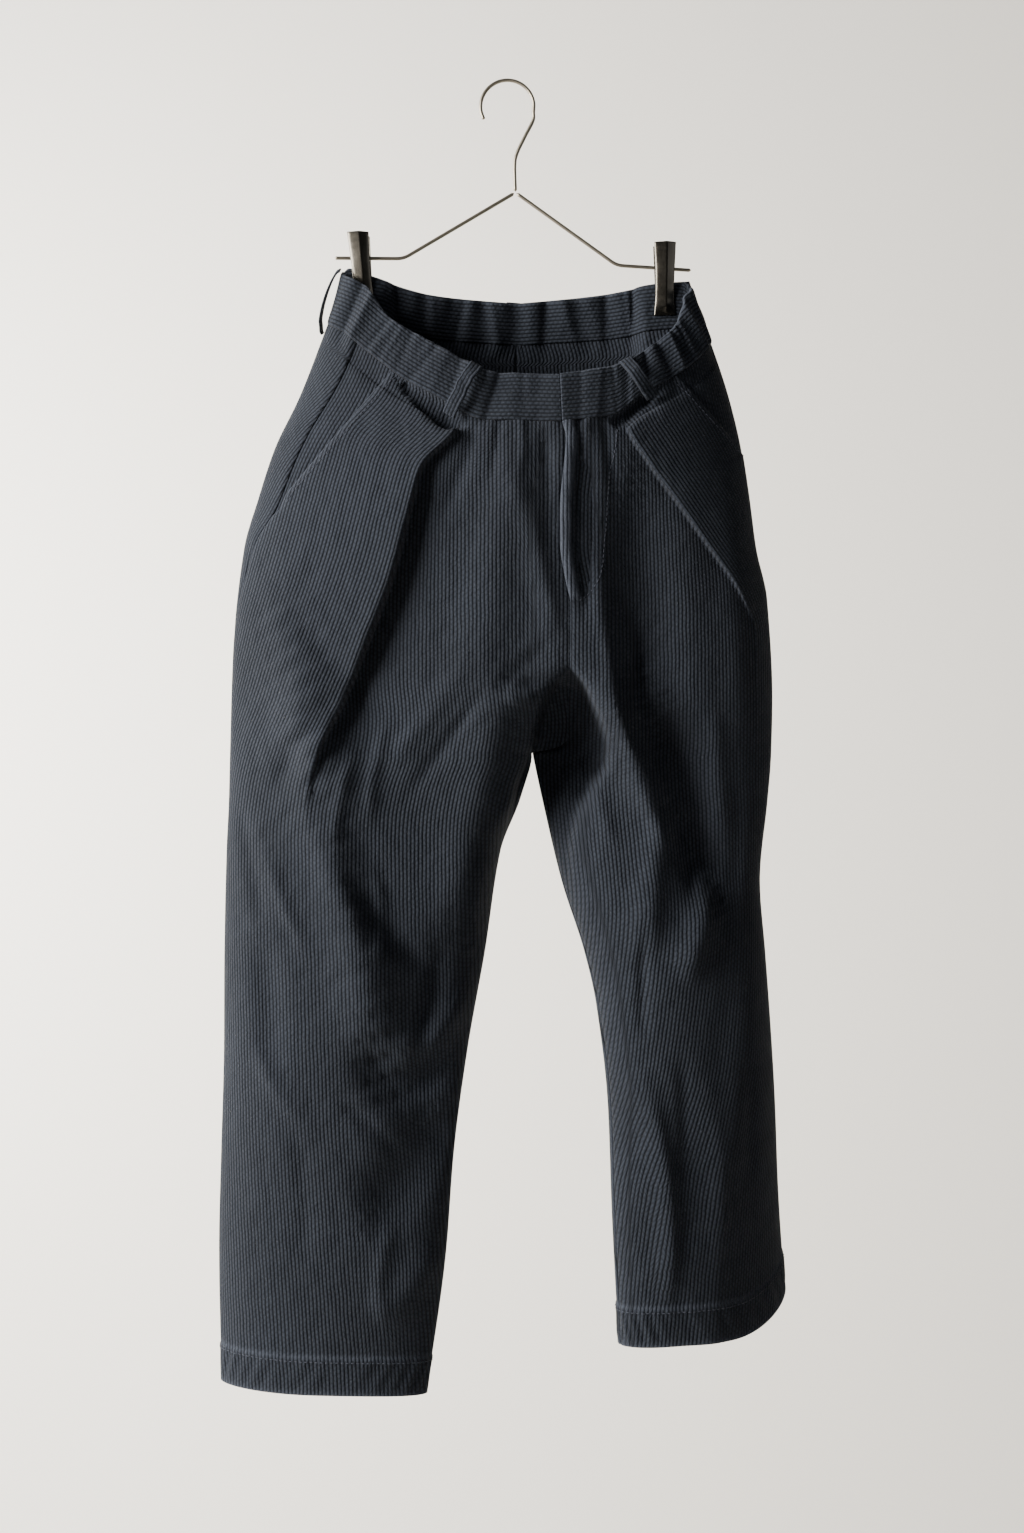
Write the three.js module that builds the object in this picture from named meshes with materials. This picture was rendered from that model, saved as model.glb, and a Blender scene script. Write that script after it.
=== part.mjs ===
// Sashiko trousers with an elastic waist and front pleats, hanging by the back of the waistband from a wire
// hanger with two clips. Millimetres, +Z up, the front faces -Y and the wearer's right is at -X.
// The origin is the top of the hook's inside, where the hanger rests on whatever holds it up.
import * as THREE from "three";

// Driving sizes
const CLOTH = 1.6; // wall of one layer of the heavy woven cloth
const SEAM_GAP = 0.4; // space left between two pieces where they are sewn together
const BAND_WALL = 4; // waistband: two layers with the elastic between them
const BAND_LAYER = 1; // how far the band's face stands out over the panels
const BAND_GAP = 1.1; // space between the panels' top edges and the band
const HEM_DEPTH = 34;
const HEM_LAYER = 0.8; // how far the turned-up hem stands out
const LOOP = { wide: 12, wall: 1.8, below: 9, seat: 0.8 };
const FLY = { wide: 46, wall: 1.4, seat: 2.4, foot: -472, curve: 46, edge: 7.5, roll: 1.5 };
const FACING_SEAT = 1.4; // space between the front panel and the pocket facing under it
const POCKET_TUCK = 0.05; // how far the facing runs on under the pocket's mouth, as a share of the ring
const GATHER = { pitch: 26, back: 2.2, front: 1.3 };
const WIRE = 3.2;
const CLIP = { high: 65, above: 22, wall: 1.1, top: 19.5, waist: 16.5, foot: 19, spread: 7.1 };
const SPRING = { radius: 7.1, bore: 2, long: 13 };

// Sections of each half, from the waist to the hem. A half runs from the centre line or inseam to its outseam.
// outer and inner are the outline's edges, front, side and back the depths, turn the twist in degrees, and
// edge how sharply the cloth folds at the outseam (1 is round).
const CROTCH = -604;
const RIGHT_SECTIONS = [
  { z: -165, outer: -148, front: -48, side: -10, back: 6, turn: 0, edge: 0.9 },
  { z: -196, outer: -155, front: -58, side: -9, back: 14, turn: 0, edge: 0.9 },
  { z: -241, outer: -171, front: -66, side: -8, back: 24, turn: 0, edge: 1 },
  { z: -286, outer: -189, front: -73, side: -6, back: 32, turn: 0, edge: 1 },
  { z: -331, outer: -211, front: -77, side: -4, back: 38, turn: 0, edge: 1 },
  { z: -376, outer: -226, front: -78, side: -3, back: 43, turn: 0, edge: 1 },
  { z: -421, outer: -239, front: -78, side: -2, back: 46, turn: 0, edge: 1 },
  { z: -511, outer: -249, front: -74, side: 0, back: 50, turn: 0, edge: 1 },
  { z: -604, outer: -252, inner: 20, front: -66, side: 0, back: 50, turn: 0, edge: 1 },
  { z: -646, outer: -253, inner: 9, front: -63, side: 0, back: 48, turn: 0, edge: 1 },
  { z: -691, outer: -255, inner: -8, front: -60, side: 0, back: 46, turn: 0, edge: 1 },
  { z: -781, outer: -257, inner: -22, front: -58, side: 0, back: 43, turn: 0, edge: 1.05 },
  { z: -871, outer: -258, inner: -38, front: -54, side: 0, back: 40, turn: -2, edge: 1.1 },
  { z: -961, outer: -261, inner: -50, front: -48, side: 0, back: 36, turn: -4, edge: 1.15 },
  { z: -1051, outer: -263, inner: -57, front: -42, side: 0, back: 33, turn: -4, edge: 1.15 },
  { z: -1180, outer: -260, inner: -75, front: -33, side: 0, back: 28, turn: -3, edge: 1.1 },
];
const LEFT_SECTIONS = [
  { z: -165, outer: 158, front: -48, side: -10, back: 6, turn: 0, edge: 0.9 },
  { z: -196, outer: 165, front: -58, side: -9, back: 14, turn: 0, edge: 0.9 },
  { z: -241, outer: 182, front: -66, side: -8, back: 24, turn: 0, edge: 1 },
  { z: -286, outer: 197, front: -73, side: -6, back: 32, turn: 0, edge: 1 },
  { z: -331, outer: 208, front: -77, side: -4, back: 38, turn: 0, edge: 1 },
  { z: -376, outer: 215, front: -78, side: -3, back: 43, turn: 0, edge: 1 },
  { z: -421, outer: 221, front: -78, side: -2, back: 46, turn: 0, edge: 1 },
  { z: -466, outer: 231, front: -77, side: -1, back: 48, turn: 0, edge: 1 },
  { z: -556, outer: 236, front: -71, side: 0, back: 50, turn: 2, edge: 1 },
  { z: -604, outer: 235, inner: 20, front: -66, side: 0, back: 50, turn: 4, edge: 1 },
  { z: -646, outer: 232, inner: 29, front: -62, side: 0, back: 48, turn: 7, edge: 1 },
  { z: -718, outer: 226, inner: 46, front: -58, side: 0, back: 46, turn: 12, edge: 1 },
  { z: -781, outer: 230, inner: 66, front: -56, side: 0, back: 44, turn: 17, edge: 1 },
  { z: -826, outer: 233, inner: 76, front: -54, side: 0, back: 42, turn: 20, edge: 1 },
  { z: -916, outer: 239, inner: 86, front: -50, side: 0, back: 38, turn: 26, edge: 1 },
  { z: -1006, outer: 244, inner: 89, front: -44, side: 0, back: 34, turn: 30, edge: 1 },
  { z: -1140, outer: 255, inner: 96, front: -38, side: 0, back: 30, turn: 31, edge: 1 },
];

// The centre seam in front and behind, and how it bends under into the crotch
const CENTRE_FRONT = [
  { z: -165, x: 40 },
  { z: -318, x: 45 },
  { z: -332, x: 48 },
  { z: -395, x: 43 },
  { z: -423, x: 43 },
  { z: -457, x: 48 },
  { z: -476, x: 52 },
  { z: -590, x: 52 },
  { z: -599, x: 44 },
  { z: -604, x: 20 },
];
const CENTRE_BACK = [
  { z: -165, x: 6 },
  { z: -318, x: 6 },
  { z: -466, x: 10 },
  { z: -545, x: 16 },
  { z: -604, x: 20 },
];
const RISE = { front: { from: -522, round: 1.5 }, back: { from: -500, round: 2 }, near: 0.08, drop: 30, below: 190 };
const FLOW = { from: -500, to: -690, near: 0.16 }; // where the cloth beside the fork runs over from body to leg

// The hollow under the fork: between its two edges the front turns under, and keeps this share of its depth
const FORK = [
  { z: -526, left: 50, right: 54, keep: 1 },
  { z: -536, left: 41, right: 61, keep: 0.8 },
  { z: -546, left: 31, right: 68, keep: 0.6 },
  { z: -562, left: 23, right: 76, keep: 0.42 },
  { z: -580, left: 19, right: 83, keep: 0.3 },
  { z: -597, left: 16, right: 88, keep: 0.22 },
  { z: -612, left: 10, right: 87, keep: 0.2 },
  { z: -631, left: 1, right: 76, keep: 0.25 },
  { z: -665, left: -8, right: 58, keep: 0.45 },
  { z: -700, left: -19, right: 52, keep: 0.75 },
  { z: -730, left: -26, right: 52, keep: 1 },
];
const FORK_EDGE = { left: 9, right: 14 }; // width over which the front turns under

// The waistband of each quarter, from the centre (at 0) to the outseam (at 1): where the sewn seam and the top
// edge lie round the ring, and how high
const BAND_RIGHT_FRONT = [
  { at: 0, seamAt: 0, seamZ: -319, topAt: 0, topZ: -278 },
  { at: 0.2, seamAt: 0.18, seamZ: -316, topAt: 0.16, topZ: -275 },
  { at: 0.35, seamAt: 0.27, seamZ: -300, topAt: 0.235, topZ: -264 },
  { at: 0.5, seamAt: 0.4, seamZ: -279, topAt: 0.35, topZ: -245 },
  { at: 0.7, seamAt: 0.56, seamZ: -252, topAt: 0.51, topZ: -222 },
  { at: 0.85, seamAt: 0.74, seamZ: -230, topAt: 0.68, topZ: -190 },
  { at: 1, seamAt: 1, seamZ: -219, topAt: 1, topZ: -173 },
];
const BAND_RIGHT_BACK = [
  { at: 0, seamAt: 0, seamZ: -232, topAt: 0, topZ: -196 },
  { at: 0.3, seamAt: 0.3, seamZ: -227, topAt: 0.3, topZ: -190 },
  { at: 0.65, seamAt: 0.65, seamZ: -213, topAt: 0.65, topZ: -174 },
  { at: 0.85, seamAt: 0.85, seamZ: -210, topAt: 0.85, topZ: -168 },
  { at: 1, seamAt: 1, seamZ: -219, topAt: 1, topZ: -173 },
];
const BAND_LEFT_FRONT = [
  { at: 0, seamAt: 0, seamZ: -319, topAt: 0, topZ: -278 },
  { at: 0.2, seamAt: 0.18, seamZ: -312, topAt: 0.2, topZ: -269 },
  { at: 0.35, seamAt: 0.29, seamZ: -295, topAt: 0.3, topZ: -259 },
  { at: 0.5, seamAt: 0.45, seamZ: -277, topAt: 0.42, topZ: -245 },
  { at: 0.7, seamAt: 0.65, seamZ: -257, topAt: 0.58, topZ: -225 },
  { at: 0.85, seamAt: 0.82, seamZ: -242, topAt: 0.74, topZ: -199 },
  { at: 1, seamAt: 1, seamZ: -234, topAt: 1, topZ: -187 },
];
const BAND_LEFT_BACK = [
  { at: 0, seamAt: 0, seamZ: -232, topAt: 0, topZ: -196 },
  { at: 0.3, seamAt: 0.3, seamZ: -228, topAt: 0.3, topZ: -190 },
  { at: 0.65, seamAt: 0.65, seamZ: -222, topAt: 0.65, topZ: -181 },
  { at: 0.85, seamAt: 0.85, seamZ: -223, topAt: 0.85, topZ: -180 },
  { at: 1, seamAt: 1, seamZ: -234, topAt: 1, topZ: -187 },
];

// Where the outseam lies round the ring (1 is the outline's edge, less is round towards the front)
const RIGHT_OUTSEAM = [
  { z: -218, at: 0.62 },
  { z: -255, at: 0.64 },
  { z: -305, at: 0.685 },
  { z: -337, at: 0.71 },
  { z: -386, at: 0.74 },
  { z: -415, at: 0.81 },
  { z: -444, at: 0.86 },
  { z: -480, at: 0.94 },
  { z: -520, at: 1 },
  { z: -1200, at: 1 },
];
const LEFT_OUTSEAM = [
  { z: -218, at: 1 },
  { z: -1200, at: 1 },
];

// The hem's height round each leg: at the inseam, the front, the outseam and the back
const RIGHT_HEM = { inner: -1177, front: -1171, outer: -1168, back: -1172 };
const LEFT_HEM = { inner: -1131, front: -1126, outer: -1096, back: -1104 };

// The pleats: the folded edge's way down the front, how far the outer layer stands over it and how deep the
// cloth behind it sinks. Below the pleat the same line runs on as the leg's crease.
const RIGHT_PLEAT = [
  { z: -300, x: -38, lift: 3, sink: 1 },
  { z: -326, x: -48, lift: 5, sink: 3 },
  { z: -357, x: -77, lift: 8, sink: 6 },
  { z: -387, x: -84, lift: 9, sink: 8 },
  { z: -447, x: -96, lift: 10, sink: 10 },
  { z: -507, x: -118, lift: 10, sink: 11 },
  { z: -559, x: -138, lift: 7, sink: 9 },
  { z: -620, x: -150, lift: 0, sink: 3 },
  { z: -680, x: -150, lift: 0, sink: 0 },
  { z: -1180, x: -160, lift: 0, sink: 0 },
];
const LEFT_PLEAT = [
  { z: -300, x: 94, lift: 3, sink: 1 },
  { z: -327, x: 103, lift: 6, sink: 3 },
  { z: -353, x: 120, lift: 8, sink: 5 },
  { z: -387, x: 146, lift: 9, sink: 6 },
  { z: -422, x: 172, lift: 9, sink: 7 },
  { z: -469, x: 205, lift: 6, sink: 5 },
  { z: -510, x: 217, lift: 4, sink: 3 },
  { z: -645, x: 218, lift: 3, sink: 1 },
  { z: -717, x: 214, lift: 3, sink: 1 },
  { z: -865, x: 195, lift: 5, sink: 0 },
  { z: -992, x: 165, lift: 6, sink: 0 },
  { z: -1105, x: 156, lift: 5, sink: 0 },
  { z: -1140, x: 155, lift: 5, sink: 0 },
];
const PLEAT = { step: 4, outward: 70, inward: 30, drop: 18, slip: 2.5, behind: 2 }; // drop: its top edge under the band
const CREASE = { step: 34, from: -600, to: -780 }; // the soft ridge the pleat turns into down the leg

// Large folds on each panel, as ridges (high above 0) and troughs (below 0): the two ends and the middle of the
// fold as it is seen from the front, its half width and its height
const RIGHT_FRONT_FOLDS = [
  { x0: -243, z0: -556, x1: -189, z1: -791, x2: -119, z2: -910, half: 26, high: 13 },
  { x0: -185, z0: -607, x1: -97, z1: -740, x2: -114, z2: -777, half: 18, high: -12 },
  { x0: 8, z0: -515, x1: -26, z1: -645, x2: -48, z2: -785, half: 28, high: 11 },
  { x0: -133, z0: -842, x1: -104, z1: -932, x2: -50, z2: -867, half: 18, high: -12 },
  { x0: -38, z0: -805, x1: -52, z1: -862, x2: -99, z2: -869, half: 12, high: 7 },
  { x0: -66, z0: -905, x1: -66, z1: -965, x2: -130, z2: -1020, half: 24, high: -9 },
  { x0: -58, z0: -1042, x1: -80, z1: -1076, x2: -117, z2: -1105, half: 14, high: 4 },
  { x0: -223, z0: -763, x1: -205, z1: -826, x2: -211, z2: -889, half: 14, high: -4 },
  { x0: 22, z0: -330, x1: 36, z1: -370, x2: 44, z2: -410, half: 9, high: -4 },
  { x0: -10, z0: -345, x1: -30, z1: -440, x2: -60, z2: -560, half: 24, high: 4 },
];
const LEFT_FRONT_FOLDS = [
  { x0: 104, z0: -346, x1: 106, z1: -470, x2: 112, z2: -568, half: 20, high: -10 },
  { x0: 58, z0: -520, x1: 88, z1: -590, x2: 154, z2: -672, half: 18, high: 13 },
  { x0: 120, z0: -530, x1: 160, z1: -640, x2: 172, z2: -750, half: 22, high: -14 },
  { x0: 138, z0: -650, x1: 112, z1: -700, x2: 97, z2: -790, half: 12, high: 6 },
  { x0: 90, z0: -870, x1: 118, z1: -985, x2: 112, z2: -1095, half: 10, high: 6 },
  { x0: 166, z0: -700, x1: 160, z1: -760, x2: 128, z2: -800, half: 13, high: 7 },
];
const RIGHT_BACK_FOLDS = [
  { x0: -128, z0: -240, x1: -100, z1: -400, x2: -20, z2: -560, half: 26, high: -9 },
  { x0: -170, z0: -330, x1: -150, z1: -560, x2: -60, z2: -680, half: 26, high: 9 },
  { x0: -200, z0: -640, x1: -150, z1: -800, x2: -80, z2: -900, half: 28, high: -10 },
  { x0: -90, z0: -700, x1: -110, z1: -860, x2: -150, z2: -1000, half: 24, high: 8 },
  { x0: -210, z0: -900, x1: -190, z1: -1000, x2: -170, z2: -1120, half: 26, high: -5 },
];
const LEFT_BACK_FOLDS = [
  { x0: 132, z0: -250, x1: 110, z1: -400, x2: 50, z2: -560, half: 26, high: -9 },
  { x0: 180, z0: -340, x1: 160, z1: -550, x2: 100, z2: -660, half: 26, high: 9 },
  { x0: 190, z0: -620, x1: 150, z1: -760, x2: 110, z2: -860, half: 26, high: -10 },
  { x0: 120, z0: -700, x1: 150, z1: -860, x2: 170, z2: -980, half: 22, high: 7 },
];

// The slanted pocket mouths in front: from the band's seam to the outseam, seen from the front, and how many
// rows the facing runs on below the mouth
const RIGHT_POCKET = { x0: -104, z0: -272, x1: -207, z1: -386, under: 1 };
const LEFT_POCKET = { x0: 148, z0: -277, x1: 206, z1: -336, under: 0 };

// The clips' middles on the hanger, with the height at which the wire goes through them
const RIGHT_CLIP = { x: -134, wire: -159, lean: 3 };
const LEFT_CLIP = { x: 139, wire: -168, lean: 0 };
const CLIP_FLAT = { wide: 15, fade: 14 }; // the band lies flat between the jaws
const CLIP_MIDDLE = 0; // depth of the hanger's wire and of the cloth between the jaws

const lerp = THREE.MathUtils.lerp;
const smoothstep = (x, low, high) => THREE.MathUtils.smoothstep(x, low, high);

// A smooth curve through the rows of a table, which never overshoots them: one column as a function of another.
function through(rows, by, value) {
  const ordered = [...rows].filter((r) => r[value] !== undefined).sort((a, b) => a[by] - b[by]);
  const xs = ordered.map((r) => r[by]);
  const ys = ordered.map((r) => r[value]);
  const slopes = xs.slice(1).map((x, i) => (ys[i + 1] - ys[i]) / (x - xs[i]));
  const tangent = (i) => {
    if (i === 0) return slopes[0];
    if (i === xs.length - 1) return slopes[i - 1];
    const before = slopes[i - 1];
    const after = slopes[i];
    return before * after <= 0 ? 0 : (2 * before * after) / (before + after);
  };
  const tangents = xs.map((_, i) => tangent(i));
  return (x) => {
    if (x <= xs[0]) return ys[0];
    if (x >= xs[xs.length - 1]) return ys[ys.length - 1];
    let i = 0;
    while (x > xs[i + 1]) i += 1;
    const span = xs[i + 1] - xs[i];
    const u = (x - xs[i]) / span;
    const a = (1 + 2 * u) * (1 - u) ** 2;
    const b = u * (1 - u) ** 2;
    const c = u * u * (3 - 2 * u);
    const d = u * u * (u - 1);
    return a * ys[i] + b * span * tangents[i] + c * ys[i + 1] + d * span * tangents[i + 1];
  };
}

// Every column of a table as a function of another column
function columns(rows, by, names) {
  return Object.fromEntries(names.map((name) => [name, through(rows, by, name)]));
}

const centre = { front: through(CENTRE_FRONT, "z", "x"), back: through(CENTRE_BACK, "z", "x") };
const fork = columns(FORK, "z", ["left", "right", "keep"]);
const bandColumns = ["seamAt", "seamZ", "topAt", "topZ"];

function halfOf(sign, sections, outseam, hem, pleat, folds, bands, pocket, clip) {
  return {
    sign,
    section: columns(sections, "z", ["outer", "inner", "front", "side", "back", "turn", "edge"]),
    outseam: through(outseam, "z", "at"),
    hem,
    pleat: columns(pleat, "z", ["x", "lift", "sink"]),
    folds,
    band: {
      front: columns(bands.front, "at", bandColumns),
      back: columns(bands.back, "at", bandColumns),
    },
    seam: {
      front: through(bands.front, "seamAt", "seamZ"),
      back: through(bands.back, "seamAt", "seamZ"),
    },
    pocket,
    clip,
  };
}

const RIGHT = halfOf(
  -1,
  RIGHT_SECTIONS,
  RIGHT_OUTSEAM,
  RIGHT_HEM,
  RIGHT_PLEAT,
  { front: RIGHT_FRONT_FOLDS, back: RIGHT_BACK_FOLDS },
  { front: BAND_RIGHT_FRONT, back: BAND_RIGHT_BACK },
  RIGHT_POCKET,
  RIGHT_CLIP,
);
const LEFT = halfOf(
  1,
  LEFT_SECTIONS,
  LEFT_OUTSEAM,
  LEFT_HEM,
  LEFT_PLEAT,
  { front: LEFT_FRONT_FOLDS, back: LEFT_BACK_FOLDS },
  { front: BAND_LEFT_FRONT, back: BAND_LEFT_BACK },
  LEFT_POCKET,
  LEFT_CLIP,
);

// A place round a half is a number from 0 (centre front or inseam) through 1 (outline's outer edge) to 2
// (centre back or inseam again).
const faceOf = (r) => (r <= 1 ? "front" : "back");
const shareOf = (r) => (r <= 1 ? r : 2 - r);

// 1 where the front or back still runs on to the centre seam, 0 down the leg. At the seam the change is the
// fork's own curve; away from it the cloth hangs lower and takes longer over it.
function riseAt(face, t, z) {
  const { from, round } = RISE[face];
  const away = smoothstep(t, 0, RISE.near);
  const high = from - RISE.drop * away;
  const low = CROTCH - RISE.below * smoothstep(t, 0, 0.42);
  const down = THREE.MathUtils.clamp((high - z) / (high - low), 0, 1);
  return lerp((1 - down ** round) ** (1 / round), 1 - smoothstep(down, 0, 1), away);
}

// How near a point seen from the front is to a fold's line, and how far along it
function foldHeight(fold, x, z) {
  const STEPS = 12;
  let best = Infinity;
  let at = 0;
  for (let i = 0; i <= STEPS; i += 1) {
    const u = i / STEPS;
    const px = (1 - u) ** 2 * fold.x0 + 2 * u * (1 - u) * fold.x1 + u * u * fold.x2;
    const pz = (1 - u) ** 2 * fold.z0 + 2 * u * (1 - u) * fold.z1 + u * u * fold.z2;
    const d = Math.hypot(px - x, (pz - z) * 0.8);
    if (d < best) {
      best = d;
      at = u;
    }
  }
  const ends = smoothstep(at, -0.05, 0.3) * (1 - smoothstep(at, 0.75, 1.05));
  return fold.high * Math.exp(-((best / fold.half) ** 2)) * ends;
}

// How much of the front's depth is left at a point seen from the front
function forkShare(x, z) {
  const inside =
    smoothstep(x - fork.left(z), 0, FORK_EDGE.left) * smoothstep(fork.right(z) - x, 0, FORK_EDGE.right);
  return lerp(1, fork.keep(z), inside);
}

// The width of the pleat's folded edge, which becomes a soft ridge down the leg
const stepAt = (z) => lerp(PLEAT.step, CREASE.step, smoothstep(-z, -CREASE.from, -CREASE.to));

function pleatHeight(half, x, z, below) {
  const out = (x - half.pleat.x(z)) * half.sign; // positive on the outer layer
  const fallen = smoothstep(below, PLEAT.drop - PLEAT.slip / 2, PLEAT.drop + PLEAT.slip / 2);
  const over = lerp(-PLEAT.behind, half.pleat.lift(z), fallen) * Math.exp(-Math.max(out, 0) / PLEAT.outward);
  const step = stepAt(z);
  const under = -half.pleat.sink(z) * Math.exp(Math.min(out + step, 0) / PLEAT.inward);
  return lerp(under, over, smoothstep(out, -step, 0));
}

// The inner edge's x: exact at the seam, and away from it a slow change from the centre seam to the inseam
function innerEdge(half, face, t, z) {
  const seam = z > CROTCH ? centre[face](z) : half.section.inner(z);
  const flow = lerp(centre[face](Math.max(z, FLOW.from)), half.section.inner(z), smoothstep(-z, -FLOW.from, -FLOW.to));
  return lerp(seam, flow, smoothstep(t, 0, FLOW.near));
}

// A point of the cloth's outer face, from its place round the half and its height
function clothPoint(half, r, z) {
  const face = faceOf(r);
  const t = shareOf(r);
  const s = half.section;
  const rise = riseAt(face, t, z);
  const inner = innerEdge(half, face, t, z);
  const outer = s.outer(z);
  const side = s.side(z);
  const depth = s[face](z) - side;
  const across = lerp((1 - Math.cos(Math.PI * t)) / 2, Math.sin((Math.PI * t) / 2), rise);
  const leg = Math.max(Math.sin(Math.PI * t), 0) ** s.edge(z);
  const torso = Math.max(Math.cos((Math.PI * t) / 2), 0) ** s.edge(z);
  const turn = THREE.MathUtils.degToRad(s.turn(z)) * smoothstep(CROTCH - z, 0, 140);
  const middle = (inner + outer) / 2;
  const halfWide = Math.abs(outer - inner) / 2;
  const halfDeep = (s.back(z) - s.front(z)) / 2;
  const local = Math.sqrt(halfWide ** 2 - (halfDeep * Math.sin(turn)) ** 2) / Math.cos(turn);
  const lx = half.sign * local * (2 * across - 1);
  const sx = middle + lx;
  let ly = depth * lerp(leg, torso, rise) * (face === "front" ? forkShare(sx, z) : 1);
  const seams = smoothstep(Math.min(r, 2 - r, Math.abs(r - 1)), 0, 0.16);
  const nearCentre = z > CROTCH ? smoothstep(Math.min(r, 2 - r), 0, 0.08) : 1;
  const folds = half.folds[face].reduce((sum, fold) => sum + foldHeight(fold, sx, z), 0) * seams;
  const below = half.seam[face](t) - z;
  const pleat = face === "front" ? pleatHeight(half, sx, z, below) * nearCentre * smoothstep(1 - r, 0, 0.1) : 0;
  ly += (face === "front" ? -1 : 1) * (folds + pleat);
  let x = middle + lx * Math.cos(turn) - ly * Math.sin(turn);
  let y = side + ly * Math.cos(turn) + lx * Math.sin(turn);
  if (face === "back") {
    const off = Math.abs(x - half.clip.x);
    const flat = 1 - smoothstep(off, CLIP_FLAT.wide, CLIP_FLAT.wide + CLIP_FLAT.fade);
    const high = smoothstep(z, -300, -225);
    y = lerp(y, CLIP_MIDDLE + BAND_WALL / 2 - BAND_LAYER, flat * high);
  }
  x += (half.sign * SEAM_GAP) / 2;
  return new THREE.Vector3(x, y, z);
}

// The cloth's outward direction there, from its neighbours on both sides of any seam
function clothNormal(half, r, z) {
  const STEP = 0.012;
  const DROP = 4;
  const open = z > CROTCH;
  const wrap = (q) => (q < 0 ? q + 2 : q > 2 ? q - 2 : q);
  const before = open ? clothPoint(half, Math.max(r - STEP, 0), z) : clothPoint(half, wrap(r - STEP), z);
  const after = open ? clothPoint(half, Math.min(r + STEP, 2), z) : clothPoint(half, wrap(r + STEP), z);
  const above = clothPoint(half, r, z + DROP);
  const below = clothPoint(half, r, z - DROP);
  const normal = new THREE.Vector3()
    .crossVectors(after.sub(before), above.sub(below))
    .multiplyScalar(half.sign)
    .normalize();
  const atCentre = Math.min(r, 2 - r) < 1e-6;
  if (open && atCentre) {
    const stay = smoothstep(riseAt(faceOf(r), 0, z), 0, 0.3);
    const across = new THREE.Vector3(0, normal.y, normal.z).normalize();
    normal.lerp(across, stay).normalize();
  }
  return normal;
}

// A closed wall between an outer and an inner grid of points, both with the same rows and columns
function wallGeometry(outer, inner) {
  const rows = outer.length;
  const cols = outer[0].length;
  const points = [...outer.flat(), ...inner.flat()];
  const layer = rows * cols;
  const index = [];
  const quad = (a, b, c, d) => index.push(a, b, c, a, c, d);
  const at = (i, j, k) => k * layer + i * cols + j;
  for (let i = 0; i < rows - 1; i += 1) {
    for (let j = 0; j < cols - 1; j += 1) {
      quad(at(i, j, 0), at(i + 1, j, 0), at(i + 1, j + 1, 0), at(i, j + 1, 0));
      quad(at(i, j, 1), at(i, j + 1, 1), at(i + 1, j + 1, 1), at(i + 1, j, 1));
    }
  }
  for (let i = 0; i < rows - 1; i += 1) {
    quad(at(i, 0, 0), at(i, 0, 1), at(i + 1, 0, 1), at(i + 1, 0, 0));
    quad(at(i, cols - 1, 0), at(i + 1, cols - 1, 0), at(i + 1, cols - 1, 1), at(i, cols - 1, 1));
  }
  for (let j = 0; j < cols - 1; j += 1) {
    quad(at(0, j, 0), at(0, j + 1, 0), at(0, j + 1, 1), at(0, j, 1));
    quad(at(rows - 1, j, 0), at(rows - 1, j, 1), at(rows - 1, j + 1, 1), at(rows - 1, j + 1, 0));
  }
  const volume = index.reduce((sum, _, k) => {
    if (k % 3) return sum;
    const [a, b, c] = [points[index[k]], points[index[k + 1]], points[index[k + 2]]];
    return sum + a.dot(new THREE.Vector3().crossVectors(b, c));
  }, 0);
  if (volume < 0) {
    for (let k = 0; k < index.length; k += 3) [index[k + 1], index[k + 2]] = [index[k + 2], index[k + 1]];
  }
  const geometry = new THREE.BufferGeometry().setFromPoints(points);
  geometry.setIndex(index);
  geometry.computeVertexNormals();
  return geometry;
}

// The hem's height at a place round the leg
function hemHeight(half, r) {
  const { inner, front, outer, back } = half.hem;
  const middle = faceOf(r) === "front" ? front : back;
  const t = shareOf(r);
  return t < 0.5 ? lerp(inner, middle, smoothstep(t, 0, 0.5)) : lerp(middle, outer, smoothstep(t, 0.5, 1));
}

// Rows of a panel as shares of its length: even down the rise, closer round the crotch, even down the leg, with
// the hem's stitched line as a step
const RISE_ROWS = 11;
const TOP_ROWS = [0, PLEAT.drop - PLEAT.slip / 2, PLEAT.drop + PLEAT.slip / 2]; // below the band, round the pleat's top
const LEG_ROWS = 15;
function rowHeight(half, r, row) {
  const top = half.seam[faceOf(r)](shareOf(r)) - SEAM_GAP / 2;
  const hem = hemHeight(half, r);
  if (row < TOP_ROWS.length) return top - TOP_ROWS[row];
  if (row <= RISE_ROWS) {
    const last = TOP_ROWS.length - 1;
    const u = (row - last) / (RISE_ROWS - last);
    return lerp(top - TOP_ROWS[last], CROTCH, lerp(u, Math.sin((Math.PI * u) / 2), 0.6));
  }
  const legRows = [...Array(LEG_ROWS).keys()].map((i) => ((i + 1) / LEG_ROWS) ** 1.12);
  const stitch = CROTCH - (hem + HEM_DEPTH);
  if (row <= RISE_ROWS + LEG_ROWS) return CROTCH - stitch * legRows[row - RISE_ROWS - 1];
  const HEM_ROWS = [HEM_DEPTH - 1.6, HEM_DEPTH / 2, 0];
  return hem + HEM_ROWS[row - RISE_ROWS - LEG_ROWS - 1];
}
const ROWS = RISE_ROWS + LEG_ROWS + 3;
const hemLayer = (row) => (row > RISE_ROWS + LEG_ROWS ? HEM_LAYER : 0);
const flyLayer = (row, column) => (column < 2 && rowHeight(LEFT, 0, row) > FLY.foot ? FLY.roll : hemLayer(row));

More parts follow.
